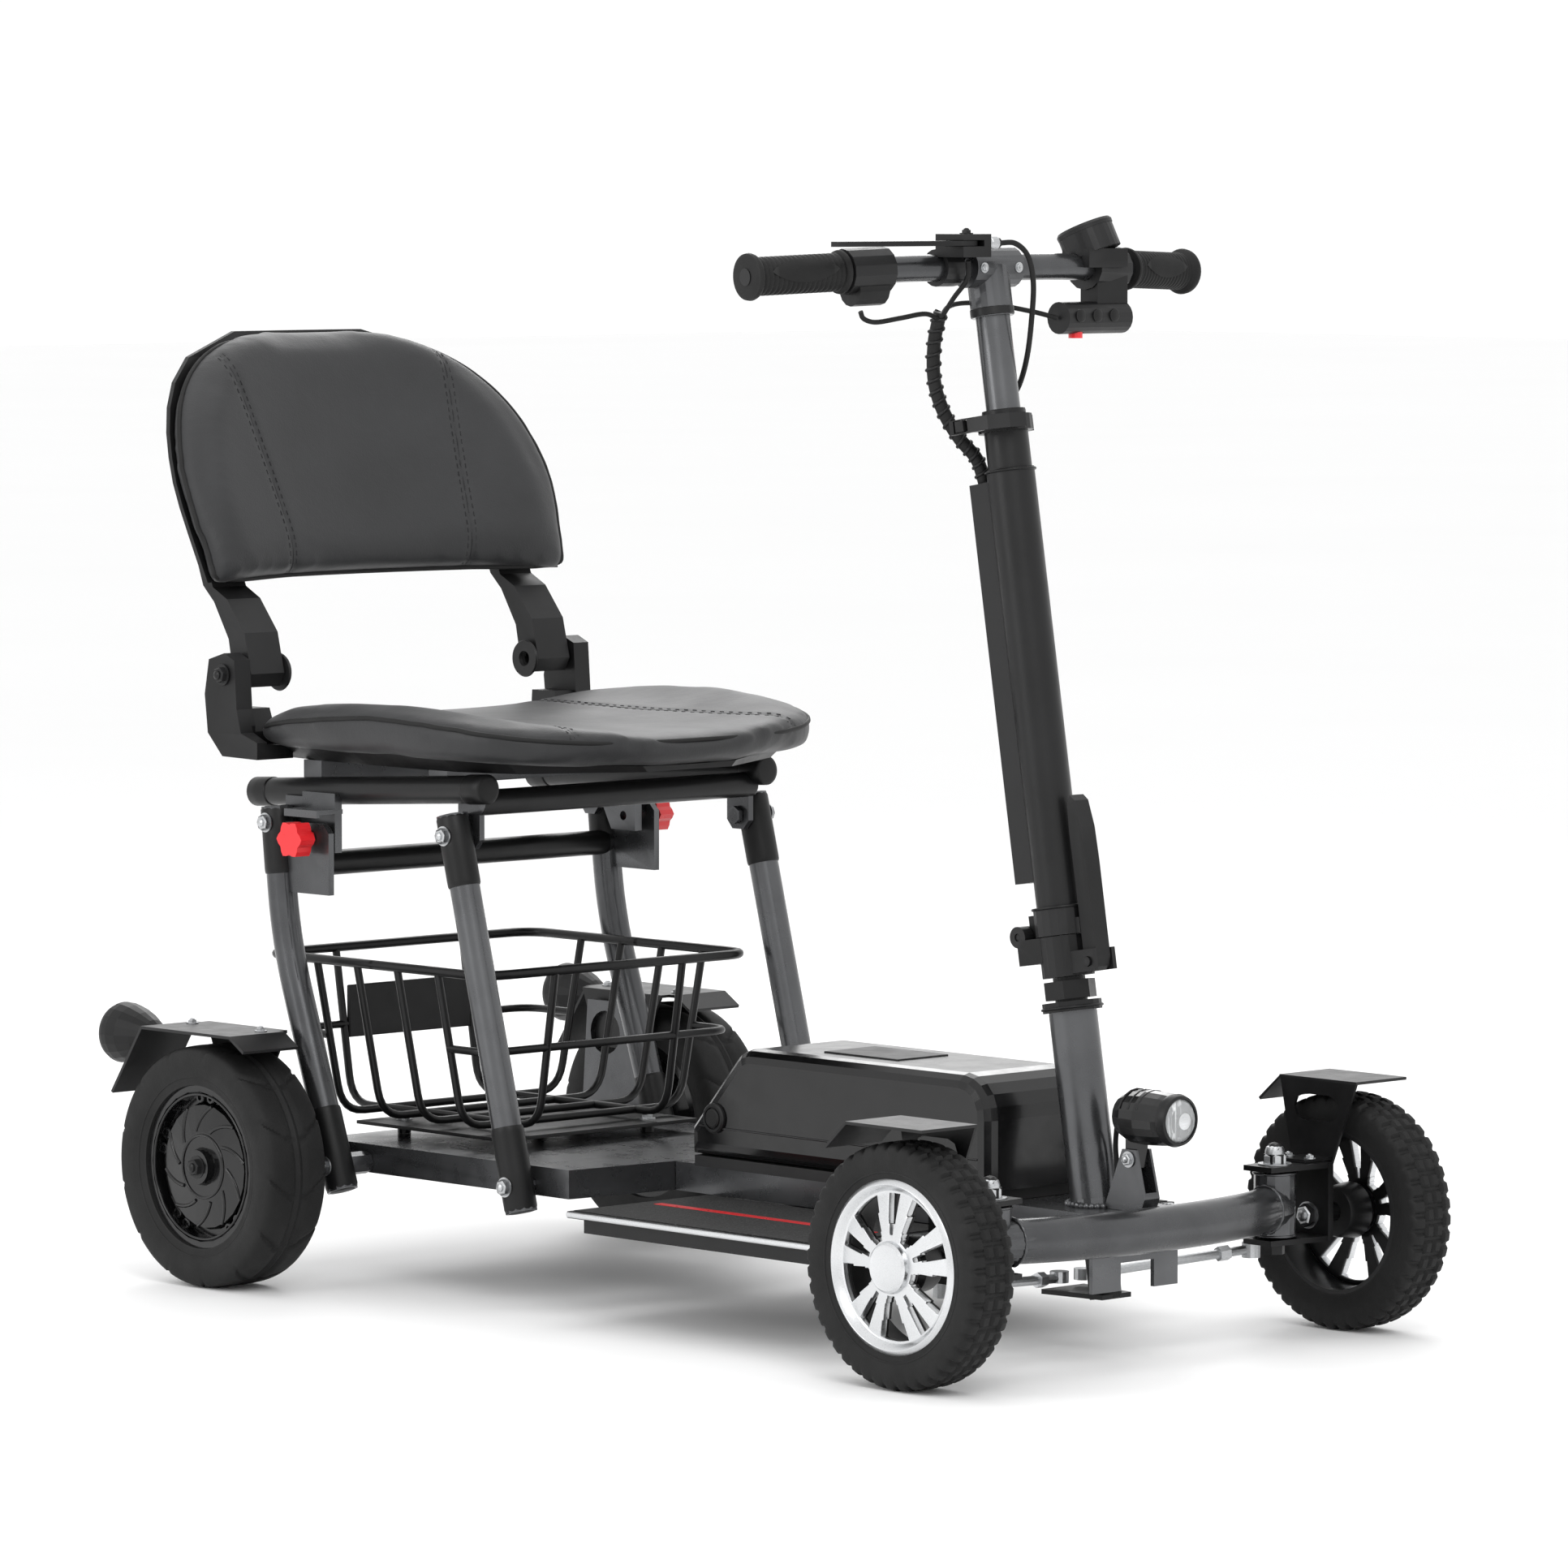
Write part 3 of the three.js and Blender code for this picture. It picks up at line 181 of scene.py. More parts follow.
def brushed(name, dark, light, rough):
    """Machined or plated metal with fine drawn lines."""
    material, nodes, links, base, place = shader(name)
    stretch = nodes.new("ShaderNodeMapping")
    stretch.inputs["Scale"].default_value = (1.0, 12.0, 12.0)
    links.new(place, stretch.inputs["Vector"])
    lines = noise(nodes, links, stretch.outputs["Vector"], 140.0, 6.0)
    links.new(ramp(nodes, links, lines, [(0.3, dark), (0.7, light)]), base.inputs["Base Color"])
    links.new(spread(nodes, links, lines, rough - 0.05, rough + 0.08), base.inputs["Roughness"])
    links.new(bump(nodes, links, lines, 0.08, 0.0003), base.inputs["Normal"])
    base.inputs["Metallic"].default_value = 1.0
    return material


def grip_sheet(name):
    """Coarse black safety-grip sheet with pale mineral specks."""
    material, nodes, links, base, place = shader(name)
    specks = nodes.new("ShaderNodeTexVoronoi")
    specks.inputs["Scale"].default_value = 420.0
    links.new(place, specks.inputs["Vector"])
    stops = [(0.05, (0.13, 0.13, 0.13)), (0.2, (0.022, 0.022, 0.022)), (0.9, (0.011, 0.011, 0.011))]
    links.new(ramp(nodes, links, specks.outputs["Distance"], stops), base.inputs["Base Color"])
    links.new(bump(nodes, links, specks.outputs["Distance"], 0.8, 0.0008), base.inputs["Normal"])
    base.inputs["Roughness"].default_value = 0.85
    return material


def clear(name, tint):
    """A clear moulded lens with faint flutes."""
    material, nodes, links, base, place = shader(name)
    flutes = nodes.new("ShaderNodeTexWave")
    flutes.inputs["Scale"].default_value = 60.0
    links.new(place, flutes.inputs["Vector"])
    links.new(bump(nodes, links, flutes.outputs["Fac"], 0.25, 0.0006), base.inputs["Normal"])
    cloud = noise(nodes, links, place, 60.0)
    links.new(ramp(nodes, links, cloud, [(0.2, tint), (0.9, tuple(c * 0.86 for c in tint))]),
        base.inputs["Base Color"])
    base.inputs["Roughness"].default_value = 0.06
    base.inputs["Transmission Weight"].default_value = 0.75
    base.inputs["IOR"].default_value = 1.49
    return material


PAINT = finish("metallic_grey_paint", (0.060, 0.061, 0.064), (0.092, 0.094, 0.098), 0.28, 0.8, 1600.0,
    0.0001, 0.12, 0.25)
BLACK_METAL = finish("black_powder_coat", (0.003, 0.003, 0.003), (0.006, 0.006, 0.0065), 0.34, 0.0, 1300.0,
    0.0002, 0.35)
BLACK_PLASTIC = finish("black_moulded_plastic", (0.003, 0.003, 0.003), (0.007, 0.007, 0.0075), 0.42, 0.0,
    1500.0, 0.0002, 0.3)
GLOSS_PLASTIC = finish("gloss_black_plastic", (0.002, 0.002, 0.002), (0.004, 0.004, 0.0045), 0.18, 0.0,
    500.0, 0.0001, 0.05, 0.3)
RUBBER = finish("black_rubber", (0.005, 0.005, 0.005), (0.010, 0.010, 0.010), 0.6, 0.0, 900.0, 0.0003, 0.4)
TYRE = finish("tyre_rubber", (0.004, 0.004, 0.004), (0.010, 0.010, 0.010), 0.62, 0.0, 700.0, 0.0003, 0.5)
RED = finish("red_plastic", (0.55, 0.008, 0.012), (0.68, 0.015, 0.02), 0.3, 0.0, 500.0, 0.0001, 0.06, 0.4)
SILVER = brushed("silver_alloy", (0.60, 0.61, 0.62), (0.74, 0.75, 0.76), 0.3)
ZINC = brushed("zinc_plate", (0.42, 0.43, 0.44), (0.60, 0.61, 0.62), 0.34)
LEATHER = leather("grained_leather")
GRIT = grip_sheet("grip_sheet")
LENS = clear("lamp_lens", (0.93, 0.95, 0.96))
RED_LENS = clear("red_lens", (0.6, 0.02, 0.02))
THREAD = finish("sewing_thread", (0.006, 0.006, 0.0065), (0.014, 0.014, 0.015), 0.6, 0.0, 2500.0, 0.0001, 0.4)
SLOT_LOOK = {
    "frame_paint": PAINT,
    "black_metal": BLACK_METAL,
    "black_plastic": BLACK_PLASTIC,
    "gloss_plastic": GLOSS_PLASTIC,
    "black_rubber": RUBBER,
    "tyre_rubber": TYRE,
    "upholstery": LEATHER,
    "silver_alloy": SILVER,
    "zinc_plate": ZINC,
    "deck_grip": BLACK_METAL,
    "lamp_lens": LENS,
    "red_plastic": RED,
}
LOOK_SLOT = {look.name: slot for slot, look in SLOT_LOOK.items() if slot != "deck_grip"}
LOOK_SLOT.update({"grip_sheet": "deck_grip", "red_lens": "lamp_lens", "sewing_thread": "upholstery"})


# ---------------------------------------------------------------- piece makers
def settle(obj, look, body, smooth=40.0):
    """Gives a piece its material, shading and body."""
    obj.data.materials.clear()
    obj.data.materials.append(look)
    if obj.type == "MESH" and smooth:
        obj.data.shade_smooth()
        obj.data.set_sharp_from_angle(angle=math.radians(smooth))
    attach(obj, body)
    return obj


def mesh_piece(name, verts, faces, look, body, smooth=40.0, bevel=0.0):
    """A finished piece from its points and faces."""
    mesh = bpy.data.meshes.new(name)
    mesh.from_pydata([tuple(v) for v in verts], [], faces)
    work = bmesh.new()
    work.from_mesh(mesh)
    bmesh.ops.recalc_face_normals(work, faces=work.faces)
    work.to_mesh(mesh)
    work.free()
    obj = bpy.data.objects.new(name, mesh)
    bpy.context.scene.collection.objects.link(obj)
    if bevel:
        round_edges(obj, bevel)
    return settle(obj, look, body, smooth)


def round_edges(obj, width, segments=2):
    """Rounds the sharp edges of a piece."""
    edge = obj.modifiers.new("edges", "BEVEL")
    edge.width = width
    edge.segments = segments
    edge.limit_method = "ANGLE"
    edge.angle_limit = math.radians(38)


def bent(points, bend, steps=6):
    """Straight runs with round corners, as points."""
    out = [points[0]]
    for before, corner, after in zip(points, points[1:], points[2:]):
        back = before - corner
        ahead = after - corner
        reach = min(bend, back.length * 0.49, ahead.length * 0.49)
        enter = corner + back.normalized() * reach
        leave = corner + ahead.normalized() * reach
        for i in range(steps + 1):
            t = i / steps
            out.append(enter * (1 - t) ** 2 + corner * 2 * t * (1 - t) + leave * t ** 2)
    out.append(points[-1])
    return out


def flowing(points, steps=8):
    """A Catmull-Rom curve through the points."""
    ends = [points[0] * 2 - points[1], *points, points[-1] * 2 - points[-2]]
    out = []
    for a, b, c, d in zip(ends, ends[1:], ends[2:], ends[3:]):
        for i in range(steps):
            t = i / steps
            out.append((b * 2 + (c - a) * t + (a * 2 - b * 5 + c * 4 - d) * t ** 2
                        + (b * 3 - a - c * 3 + d) * t ** 3) * 0.5)
    out.append(points[-1])
    return out


def tube(name, points, radius, look, body, sides=20, closed=False, radii=None):
    """A round closed tube with flat ends along points."""
    verts, faces = [], []
    count = len(points)
    normal = None
    for i, point in enumerate(points):
        if closed:
            ahead = (points[(i + 1) % count] - points[i - 1]).normalized()
        else:
            ahead = (points[min(i + 1, count - 1)] - points[max(i - 1, 0)]).normalized()
        if normal is None:
            normal = ahead.orthogonal().normalized()
        normal = (normal - ahead * normal.dot(ahead)).normalized()
        other = ahead.cross(normal)
        size = radii[i] if radii else radius
        for k in range(sides):
            angle = 2 * math.pi * k / sides
            verts.append(point + (normal * math.cos(angle) + other * math.sin(angle)) * size)
    runs = count if closed else count - 1
    for i in range(runs):
        for k in range(sides):
            a = i * sides + k
            b = i * sides + (k + 1) % sides
            c = ((i + 1) % count) * sides
            faces.append((a, b, c + (k + 1) % sides, c + k))
    if not closed:
        faces.append(tuple(range(sides)))
        faces.append(tuple((count - 1) * sides + k for k in range(sides)))
    return mesh_piece(name, verts, faces, look, body, 50.0)


def turned(name, profile, origin, axis, look, body, sides=48, smooth=35.0):
    """A solid turned about axis: profile is (radius, distance along the axis) in mm from the origin."""
    axis = Vector(axis).normalized()
    side = axis.orthogonal().normalized()
    up = axis.cross(side)
    verts, faces, rings = [], [], []
    for radius, along in profile:
        centre = origin + axis * along * MM
        if radius < 1e-6:
            rings.append([len(verts)])
            verts.append(centre)
            continue
        rings.append(list(range(len(verts), len(verts) + sides)))
        for k in range(sides):
            angle = 2 * math.pi * k / sides
            verts.append(centre + (side * math.cos(angle) + up * math.sin(angle)) * radius * MM)
    for low, high in zip(rings, rings[1:]):
        for k in range(sides):
            ring = [low[k % len(low)], low[(k + 1) % len(low)], high[(k + 1) % len(high)],
                high[k % len(high)]]
            faces.append(tuple(dict.fromkeys(ring)))
    return mesh_piece(name, verts, faces, look, body, smooth)


def slab(name, outline, thickness, look, body, bevel=0.0006):
    """A flat closed outline of points, thickened by a vector."""
    count = len(outline)
    verts = [*outline, *[p + thickness for p in outline]]
    faces = [tuple(range(count)), tuple(range(count, 2 * count))]
    faces += [(i, (i + 1) % count, count + (i + 1) % count, count + i) for i in range(count)]
    return mesh_piece(name, verts, faces, look, body, 30.0, bevel)


def hex_bolt(name, origin, axis, size, body, look=None):
    """A washer, a six-sided head and a domed centre, in mm."""
    look = look or ZINC
    turned(f"{name}_washer", [(0, 0), (size * 1.35, 0), (size * 1.35, 1), (0, 1)], origin, axis, look, body,
        28)
    head = [(0, 0.9), (size, 0.9), (size, size * 0.7), (size * 0.86, size * 0.85), (0, size * 0.85)]
    turned(f"{name}_head", head, origin, axis, look, body, 6, 20.0)
    shank = [(0, 0.8), (size * 0.55, 0.8), (size * 0.55, size * 1.02), (size * 0.3, size * 1.2),
        (0, size * 1.22)]
    turned(f"{name}_end", shank, origin, axis, look, body, 24)


# ---------------------------------------------------------------- the CAD nodes that stay
SLOT_OF = {part["node"]: part["material_slot"] for part in frame["record"]["subparts"]}
for node_name, node in NODES.items():
    node.data.materials.clear()
    node.data.materials.append(SLOT_LOOK[SLOT_OF[node_name]])
    node.data.polygons.foreach_set("use_smooth", [True] * len(node.data.polygons))
    round_edges(node, 0.0009)
    weighted = node.modifiers.new("normals", "WEIGHTED_NORMAL")
    weighted.keep_sharp = True


# ---------------------------------------------------------------- wheels
def wheel_point(centre, side, radius, angle, out):
    """A point on a wheel: out is the distance outboard of its middle plane."""
    return centre + Vector((side * out, radius * math.cos(angle), radius * math.sin(angle)))


def tyre(name, node, body, side, blocks, groove, knobbly):
    """A tyre with a cut tread. The pattern is a height rule of angle and width."""
    low, high = corners(node)
    centre = (low + high) / 2
    radius = (high.z - low.z) / 2
    half = (high.x - low.x) / 2
    inner = radius - (30.5 * MM if knobbly else 34.5 * MM)
    around = blocks * 6
    section = []
    across = 26
    for i in range(across + 1):
        t = -1 + 2 * i / across
        crown = radius - (1 - (1 - abs(t) ** 3.4) ** 0.5) * radius * 0.14
        section.append((crown, half * math.sin(t * math.pi / 2) * 0.985, abs(t)))
    wall = [(inner + 12 * MM, half * 0.985, 2), (inner + 6 * MM, half * 0.9, 2),
        (inner + 3 * MM, half * 0.88, 2), (inner, half * 0.84, 2)]
    ring = [*[(r, -w, t) for r, w, t in reversed(wall)], *section, *wall]
    verts, faces = [], []
    for a in range(around):
        angle = 2 * math.pi * a / around
        for r, w, t in ring:
            cut_depth = 0.0
            if t <= 0.96:
                phase = (a % 6) / 6
                if knobbly:
                    shift = 0.5 if abs(w) > half * 0.42 else 0.0
                    gap = ((phase + shift) % 1.0) < 0.3
                    line = 0.36 < abs(w) / half < 0.5 or abs(w) / half < 0.07
                    cut_depth = groove if gap or line else 0.0
                else:
                    slant = (a / 6 + abs(w) / half * 2.2) % 4
                    line = 0.1 < abs(w) / half < 0.17
                    cut_depth = groove if slant < 0.34 and abs(w) / half > 0.2 or line else 0.0
            verts.append(wheel_point(centre, side, r - cut_depth, angle, w))
    count = len(ring)
    for a in range(around):
        b = (a + 1) % around
        for k in range(count):
            faces.append((a * count + k, a * count + (k + 1) % count, b * count + (k + 1) % count,
                b * count + k))
    piece = mesh_piece(f"{name}_tread", verts, faces, TYRE, body, 32.0)
    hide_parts(node)
    for level in (0.9, 0.96):
        at_level = (inner + 7 * MM / level, half * level * 0.94)
        bead = [wheel_point(centre, side, at_level[0], turn, at_level[1]) for turn in circle(72)]
        tube(f"{name}_bead_{round(level * 100)}", bead, 0.9 * MM, TYRE, body, 8, True)


def polar_plate(name, centre, side, radii, steps, height, hole, thickness, look, body):
    """A dished disc of cells in rings; hole says which cells are open. The disc gets a thickness."""
    work = bmesh.new()
    rows = []
    for r in radii:
        rows.append([work.verts.new(wheel_point(centre, side, r * MM, 2 * math.pi * k / steps,
            height(r) * MM)) for k in range(steps)])
    for i in range(len(radii) - 1):
        for k in range(steps):
            middle = (radii[i] + radii[i + 1]) / 2
            if not hole(middle, 2 * math.pi * (k + 0.5) / steps):
                n = (k + 1) % steps
                work.faces.new((rows[i][k], rows[i][n], rows[i + 1][n], rows[i + 1][k]))
    loose = [v for v in work.verts if not v.link_faces]
    bmesh.ops.delete(work, geom=loose, context="VERTS")
    bmesh.ops.recalc_face_normals(work, faces=work.faces)
    mesh = bpy.data.meshes.new(name)
    work.to_mesh(mesh)
    work.free()
    obj = bpy.data.objects.new(name, mesh)
    bpy.context.scene.collection.objects.link(obj)
    thick = obj.modifiers.new("thick", "SOLIDIFY")
    thick.thickness = thickness * MM
    thick.offset = 0
    round_edges(obj, 1.1 * MM, 3)
    return settle(obj, look, body)


def turn_between(angle, middle, half):
    """Whether an angle lies within half a width of a middle one."""
    return abs((angle - middle + math.pi) % (2 * math.pi) - math.pi) < half


def front_rim(name, side):
    """Alloy rim with five pairs of spokes, a deep barrel and a raised hub cap."""
    node = f"front_rim_{name}"
    body = f"front_wheel_{name}"
    low, high = corners(f"front_tyre_{name}")
    centre = (low + high) / 2
    radii = [14, 18, 21, 23, 26, 30, 35, 40, 45, 50, 54, 57, 60, 63, 66, 69.3]

    def height(r):
        return 12 + 6.5 * (1 - ((r - 14) / 55.3) ** 1.6) if r < 61 else 12 + (r - 61) * 1.15

    def window(r, angle):
        for k in range(5):
            pair = math.pi / 2 + 2 * math.pi * k / 5
            if 27 < r < 60 and turn_between(angle, pair, 0.075 + 0.0012 * (r - 27)):
                return True
            if 24 < r < 60 and turn_between(angle, pair + math.pi / 5, 0.335 - 3.6 / r + 0.0004 * (r - 24)):
                return True
        return False

    face = polar_plate(f"front_rim_{name}_spokes", centre, side, radii, 180, height, window, 6.5, SILVER,
        body)
    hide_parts(node)
    outward = (side, 0, 0)
    backing = polar_plate(f"front_rim_{name}_backing", centre, side, radii[2:], 180,
        lambda r: height(r) - 4.7, window, 2.6, BLACK_METAL, body)
    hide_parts(node)
    barrel = [(66, -19.5), (69.5, -19.5), (69.5, 9), (64.5, 9), (64, -8), (66, -19.5)]
    turned(f"front_rim_{name}_barrel", barrel, centre, outward, BLACK_METAL, body, 72)
    lip = [(64.5, 9.2), (69.5, 9.2), (69.5, 20.5), (67.5, 22.2), (65.5, 21.5), (64.5, 16), (64.5, 9.2)]
    turned(f"front_rim_{name}_lip", lip, centre, outward, SILVER, body, 72)
    inner = [(8, -18), (20, -18), (22, -14), (24, 4), (20, 10), (8, 10), (8, -18)]
    turned(f"front_rim_{name}_hub", inner, centre, outward, BLACK_METAL, body, 40)
    cap = [(0, 18), (14, 18), (21, 18), (21.5, 21), (20.5, 25.5), (18.5, 27.3), (15, 26.6), (0, 26.2)]
    turned(f"front_rim_{name}_cap", cap, centre, outward, SILVER, body, 48)


def rear_hub(name, side):
    """Curved ribs, bosses and an axle nut on the motor cover."""
    body = f"rear_wheel_{name}"
    low, high = corners(f"rear_tyre_{name}")
    centre = (low + high) / 2
    for k in range(10):
        start = 2 * math.pi * k / 10
        rib = []
        for i in range(9):
            t = i / 8
            rib.append(wheel_point(centre, side, (32 + 22 * t) * MM, start + 0.5 * t, (21.6 - 2.2 * t) * MM))
        tube(f"rear_hub_{name}_rib_{k}", rib, 1.8 * MM, GLOSS_PLASTIC, body, 10)
    for k in range(10):
        angle = 2 * math.pi * (k // 2) / 5 + (0.12 if k % 2 else -0.12) + 0.3
        spot = wheel_point(centre, side, 60 * MM, angle, 12.5 * MM)
        boss = [(0, 0), (5, 0), (5, 5.6), (4.3, 6.4), (2.4, 6.4), (2.2, 4.6), (0, 4.6)]
        turned(f"rear_hub_{name}_boss_{k}", boss, spot, (side, 0, 0), GLOSS_PLASTIC, body, 20)
    for r, out in ((27.5, 22), (63.5, 24.6)):
        ring = [wheel_point(centre, side, r * MM, turn, out * MM) for turn in circle(72)]
        tube(f"rear_hub_{name}_ring_{round(r)}", ring, 1.3 * MM, GLOSS_PLASTIC, body, 10, True)
    hex_bolt(f"rear_hub_{name}_nut", centre + Vector((side * 28.5 * MM, 0, 0)), (side, 0, 0), 7.5, body,
        BLACK_METAL)


for side_name, side in SIDES:
    tyre(f"front_tyre_{side_name}", f"front_tyre_{side_name}", f"front_wheel_{side_name}", side, 44,
        2.6 * MM, True)
    tyre(f"rear_tyre_{side_name}", f"rear_tyre_{side_name}", f"rear_wheel_{side_name}", side, 52, 1.8 * MM,
        False)
    front_rim(side_name, side)
    rear_hub(side_name, side)


# ---------------------------------------------------------------- frame tubes, caps and bolts
def overlay(name, points, radius, look, body, sides=32):
    """A finely round skin over a coarse CAD tube."""
    return tube(name, points, (radius + 0.15) * MM, look, body, sides)


def cuff(name, a, b, radius, body):
    """A moulded black sleeve with a rounded mouth at each end."""
    along = b - a
    stops = [(0.0, 0.72), (0.02, 0.93), (0.06, 1.0), (0.5, 1.0), (0.93, 1.0), (0.975, 0.99), (1.0, 0.95)]
    points = [a + along * t for t, _ in stops]
    return tube(name, points, radius * MM, BLACK_PLASTIC, body, 32, False,
        [radius * MM * s for _, s in stops])


def leg_bolts(leg, side, spots, body):
    """The bolts at a leg's foot and head, with the spots in that order."""
    for label, spot in zip(("low", "top"), spots):
        face = spot + Vector((side * 13.8 * MM, 0, 0))
        hex_bolt(f"{leg}_bolt_{label}", face, (side, 0, 0), 6.4, body)


LEG_R = 13
LEG_CUFF_R = 14.4
FRONT_LEG = ((146.5, 106.0), (225.0, 402.5))
REAR_LEG_LINE = ((366.0, 106.0), (434.0, 300.0), (444.5, 402.5))
FRONT_LEG_X = 176
REAR_LEG_X = 192
for side_name, side in SIDES:
    x = side * FRONT_LEG_X
    foot = at(x, *FRONT_LEG[0])
    head = at(x, *FRONT_LEG[1])
    run = (head - foot).normalized()
    body = f"front_link_{side_name}"
    overlay(f"front_leg_{side_name}_tube", [foot + run * 0.02, head - run * 0.02], LEG_R, PAINT, body)
    cuff(f"front_leg_{side_name}_foot", foot - run * 0.0235, foot + run * 0.051, LEG_CUFF_R, body)
    cuff(f"front_leg_{side_name}_head", head + run * 0.0185, head - run * 0.045, LEG_CUFF_R, body)
    leg_bolts(f"front_leg_{side_name}", side, (foot, head), body)

    x = side * REAR_LEG_X
    knots = [at(x, y, z) for y, z in REAR_LEG_LINE]
    start = (knots[1] - knots[0]).normalized()
    end = (knots[2] - knots[1]).normalized()
    route = bent(knots, 0.046, 10)
    overlay(f"rear_leg_{side_name}_tube", route, LEG_R, PAINT, "rear_links")
    cuff(f"rear_leg_{side_name}_foot", knots[0] - start * 0.0235, knots[0] + start * 0.051, LEG_CUFF_R,
        "rear_links")
    cuff(f"rear_leg_{side_name}_head", knots[2] + end * 0.0145, knots[2] - end * 0.045, LEG_CUFF_R,
        "rear_links")
    leg_bolts(f"rear_leg_{side_name}", side, (knots[0], knots[2]), "rear_links")

    rail_front = at(side * 164, 196.5, 443)
    rail_rear = at(side * 164, 506, 424.4)
    rail = (rail_rear - rail_front).normalized()
    overlay(f"seat_rail_{side_name}", [rail_front + rail * 0.01, rail_rear - rail * 0.01], 12, BLACK_METAL,
        "seat")
    cuff(f"seat_rail_{side_name}_plug_front", rail_front - rail * 0.001, rail_front + rail * 0.024, 13,
        "seat")
    cuff(f"seat_rail_{side_name}_plug_rear", rail_rear + rail * 0.001, rail_rear - rail * 0.024, 13, "seat")

overlay("rear_leg_cross_tube", [at(-184, 436, 364), at(184, 436, 364)], 11, BLACK_METAL, "rear_links")
overlay("seat_cross_tube", [at(-160, 215, 430), at(160, 215, 430)], 11, BLACK_METAL, "seat")
bumper = [at(-156, -423.5, 110), at(-112, -441, 110), at(-40, -453, 110), at(40, -453, 110),
    at(112, -441, 110), at(156, -423.5, 110)]
overlay("bumper_skin", bent(bumper, 0.034, 8), 18.5, PAINT, "chassis", 40)

TILT = math.radians(9.5)
HINGE_Z = 340
STEM_UP = Vector((0, math.sin(TILT), math.cos(TILT)))


def on_stem(z, x=0.0, back=0.0):
    """A point beside the steering axis, in mm: across, behind it, at a height on the axis."""
    return at(x, -395 + z * math.tan(TILT) + back * math.cos(TILT), z - back * math.sin(TILT))


overlay("head_tube_skin", [on_stem(128), on_stem(280)], 20, PAINT, "chassis", 40)
overlay("stem_tube_skin", [on_stem(366.5), on_stem(726)], 20, BLACK_METAL, "tiller", 40)
overlay("stem_sleeve_skin", [on_stem(727), on_stem(774)], 18.2, BLACK_METAL, "tiller", 40)
overlay("stem_upper_skin", [on_stem(640), on_stem(853)], 14.2, PAINT, "bar", 36)
for z, r in ((284, 25), (366, 23.6), (725, 20.6)):
    owner = "steering" if z < HINGE_Z else "tiller"
    ring = [on_stem(z, r * math.cos(turn), r * math.sin(turn)) for turn in circle(64)]
    tube(f"stem_ring_{z}", ring, 1.2 * MM, BLACK_METAL, owner, 10, True)


def weld(name, points, radius, body, closed=True):
    """A stacked-coin weld bead: one overlapping ripple after another."""
    radii = [radius * MM * (1 + 0.3 * math.sin(i * 2.1)) for i in range(len(points))]
    return tube(name, points, radius * MM, PAINT, body, 10, closed, radii)


foot_y = -395 + 124 * math.tan(TILT)
bead = [at(22.2 * math.cos(turn), foot_y + 22.2 * math.sin(turn), 123.4) for turn in circle(90)]
weld("head_tube_weld", bead, 2.6, "chassis")
for side_name, side in SIDES:
    seam = [at(side * (46 + 0.6), -440 + 1.3 * i, 118 + 2.5 * math.sin(i / 12)) for i in range(26)]
    weld(f"beam_weld_{side_name}", seam, 2.0, "chassis", False)
    joint = [at(side * 150.5, -425.5 + 19.6 * math.cos(turn), 110 + 19.6 * math.sin(turn))
        for turn in circle(40)]
    weld(f"kingpin_weld_{side_name}", joint, 1.6, "chassis")
    for end_z, label in ((87, "low"), (139, "top")):
        ring = [at(side * 167 + 17.6 * math.cos(turn), -420 + 17.6 * math.sin(turn), end_z)
            for turn in circle(60)]
        tube(f"kingpin_collar_{label}_{side_name}", ring, 1.1 * MM, PAINT, "chassis", 8, True)
    kingpin = f"knuckle_{side_name}"
    hex_bolt(f"kingpin_nut_{side_name}", at(side * 167, -420, 146.2), (0, 0, 1), 10.5, kingpin)
    dome = [(0, 0), (8.2, 0), (8.2, 3), (7, 6.5), (4, 8.6), (0, 9.4)]
    turned(f"kingpin_dome_{side_name}", dome, at(side * 167, -420, 154.5), (0, 0, 1), ZINC, kingpin, 24)
    hex_bolt(f"stub_axle_head_{side_name}", at(side * 208, -420, 100), (-side, 0, 0), 8.5, kingpin)
    for spot_y in (-432, -408):
        hex_bolt(f"fender_bolt_{side_name}_{-spot_y}", at(side * 200, spot_y + 3, 148.9), (0, 0, 1), 3.6,
            kingpin)


# ---------------------------------------------------------------- floor plates
def rectangle(x0, x1, y0, y1, z):
    """A level rectangle's corners in order."""
    return [Vector((x0, y0, z)), Vector((x1, y0, z)), Vector((x1, y1, z)), Vector((x0, y1, z))]


for side_name, side in SIDES:
    low, high = corners(f"footboard_{side_name}")
    near = side * 50 * MM
    far = side * 210 * MM
    rear, front = high.y, low.y
    top = high.z
    inset = 4 * MM * side
    sheet = rectangle(near + inset, far - inset, front + 0.004, rear - 0.004, top)
    slab(f"grip_sheet_{side_name}", sheet, Vector((0, 0, 0.0009)), GRIT, "chassis", 0.0003)
    x = side * 121 * MM
    stripe = rectangle(x, x + side * 0.009, front + 0.02, rear - 0.021, top + 0.0008)
    slab(f"floor_stripe_{side_name}", stripe, Vector((0, 0, 0.0005)), RED, "chassis", 0.0001)
    edge_z = top - 0.0028
    edge_x = far - side * 0.0008
    rim = [Vector((x, y, edge_z)) for x, y in ((edge_x, rear - 0.0008), (edge_x, front + 0.0008),
        (near, front + 0.0008))]
    tube(f"floor_edge_{side_name}", bent(rim, 0.004, 4), 0.0027, SILVER, "chassis", 10)
    edge = [Vector((x, rear - 0.0008, edge_z)) for x in (near, far)]
    tube(f"floor_edge_rear_{side_name}", edge, 0.0027, SILVER, "chassis", 10)


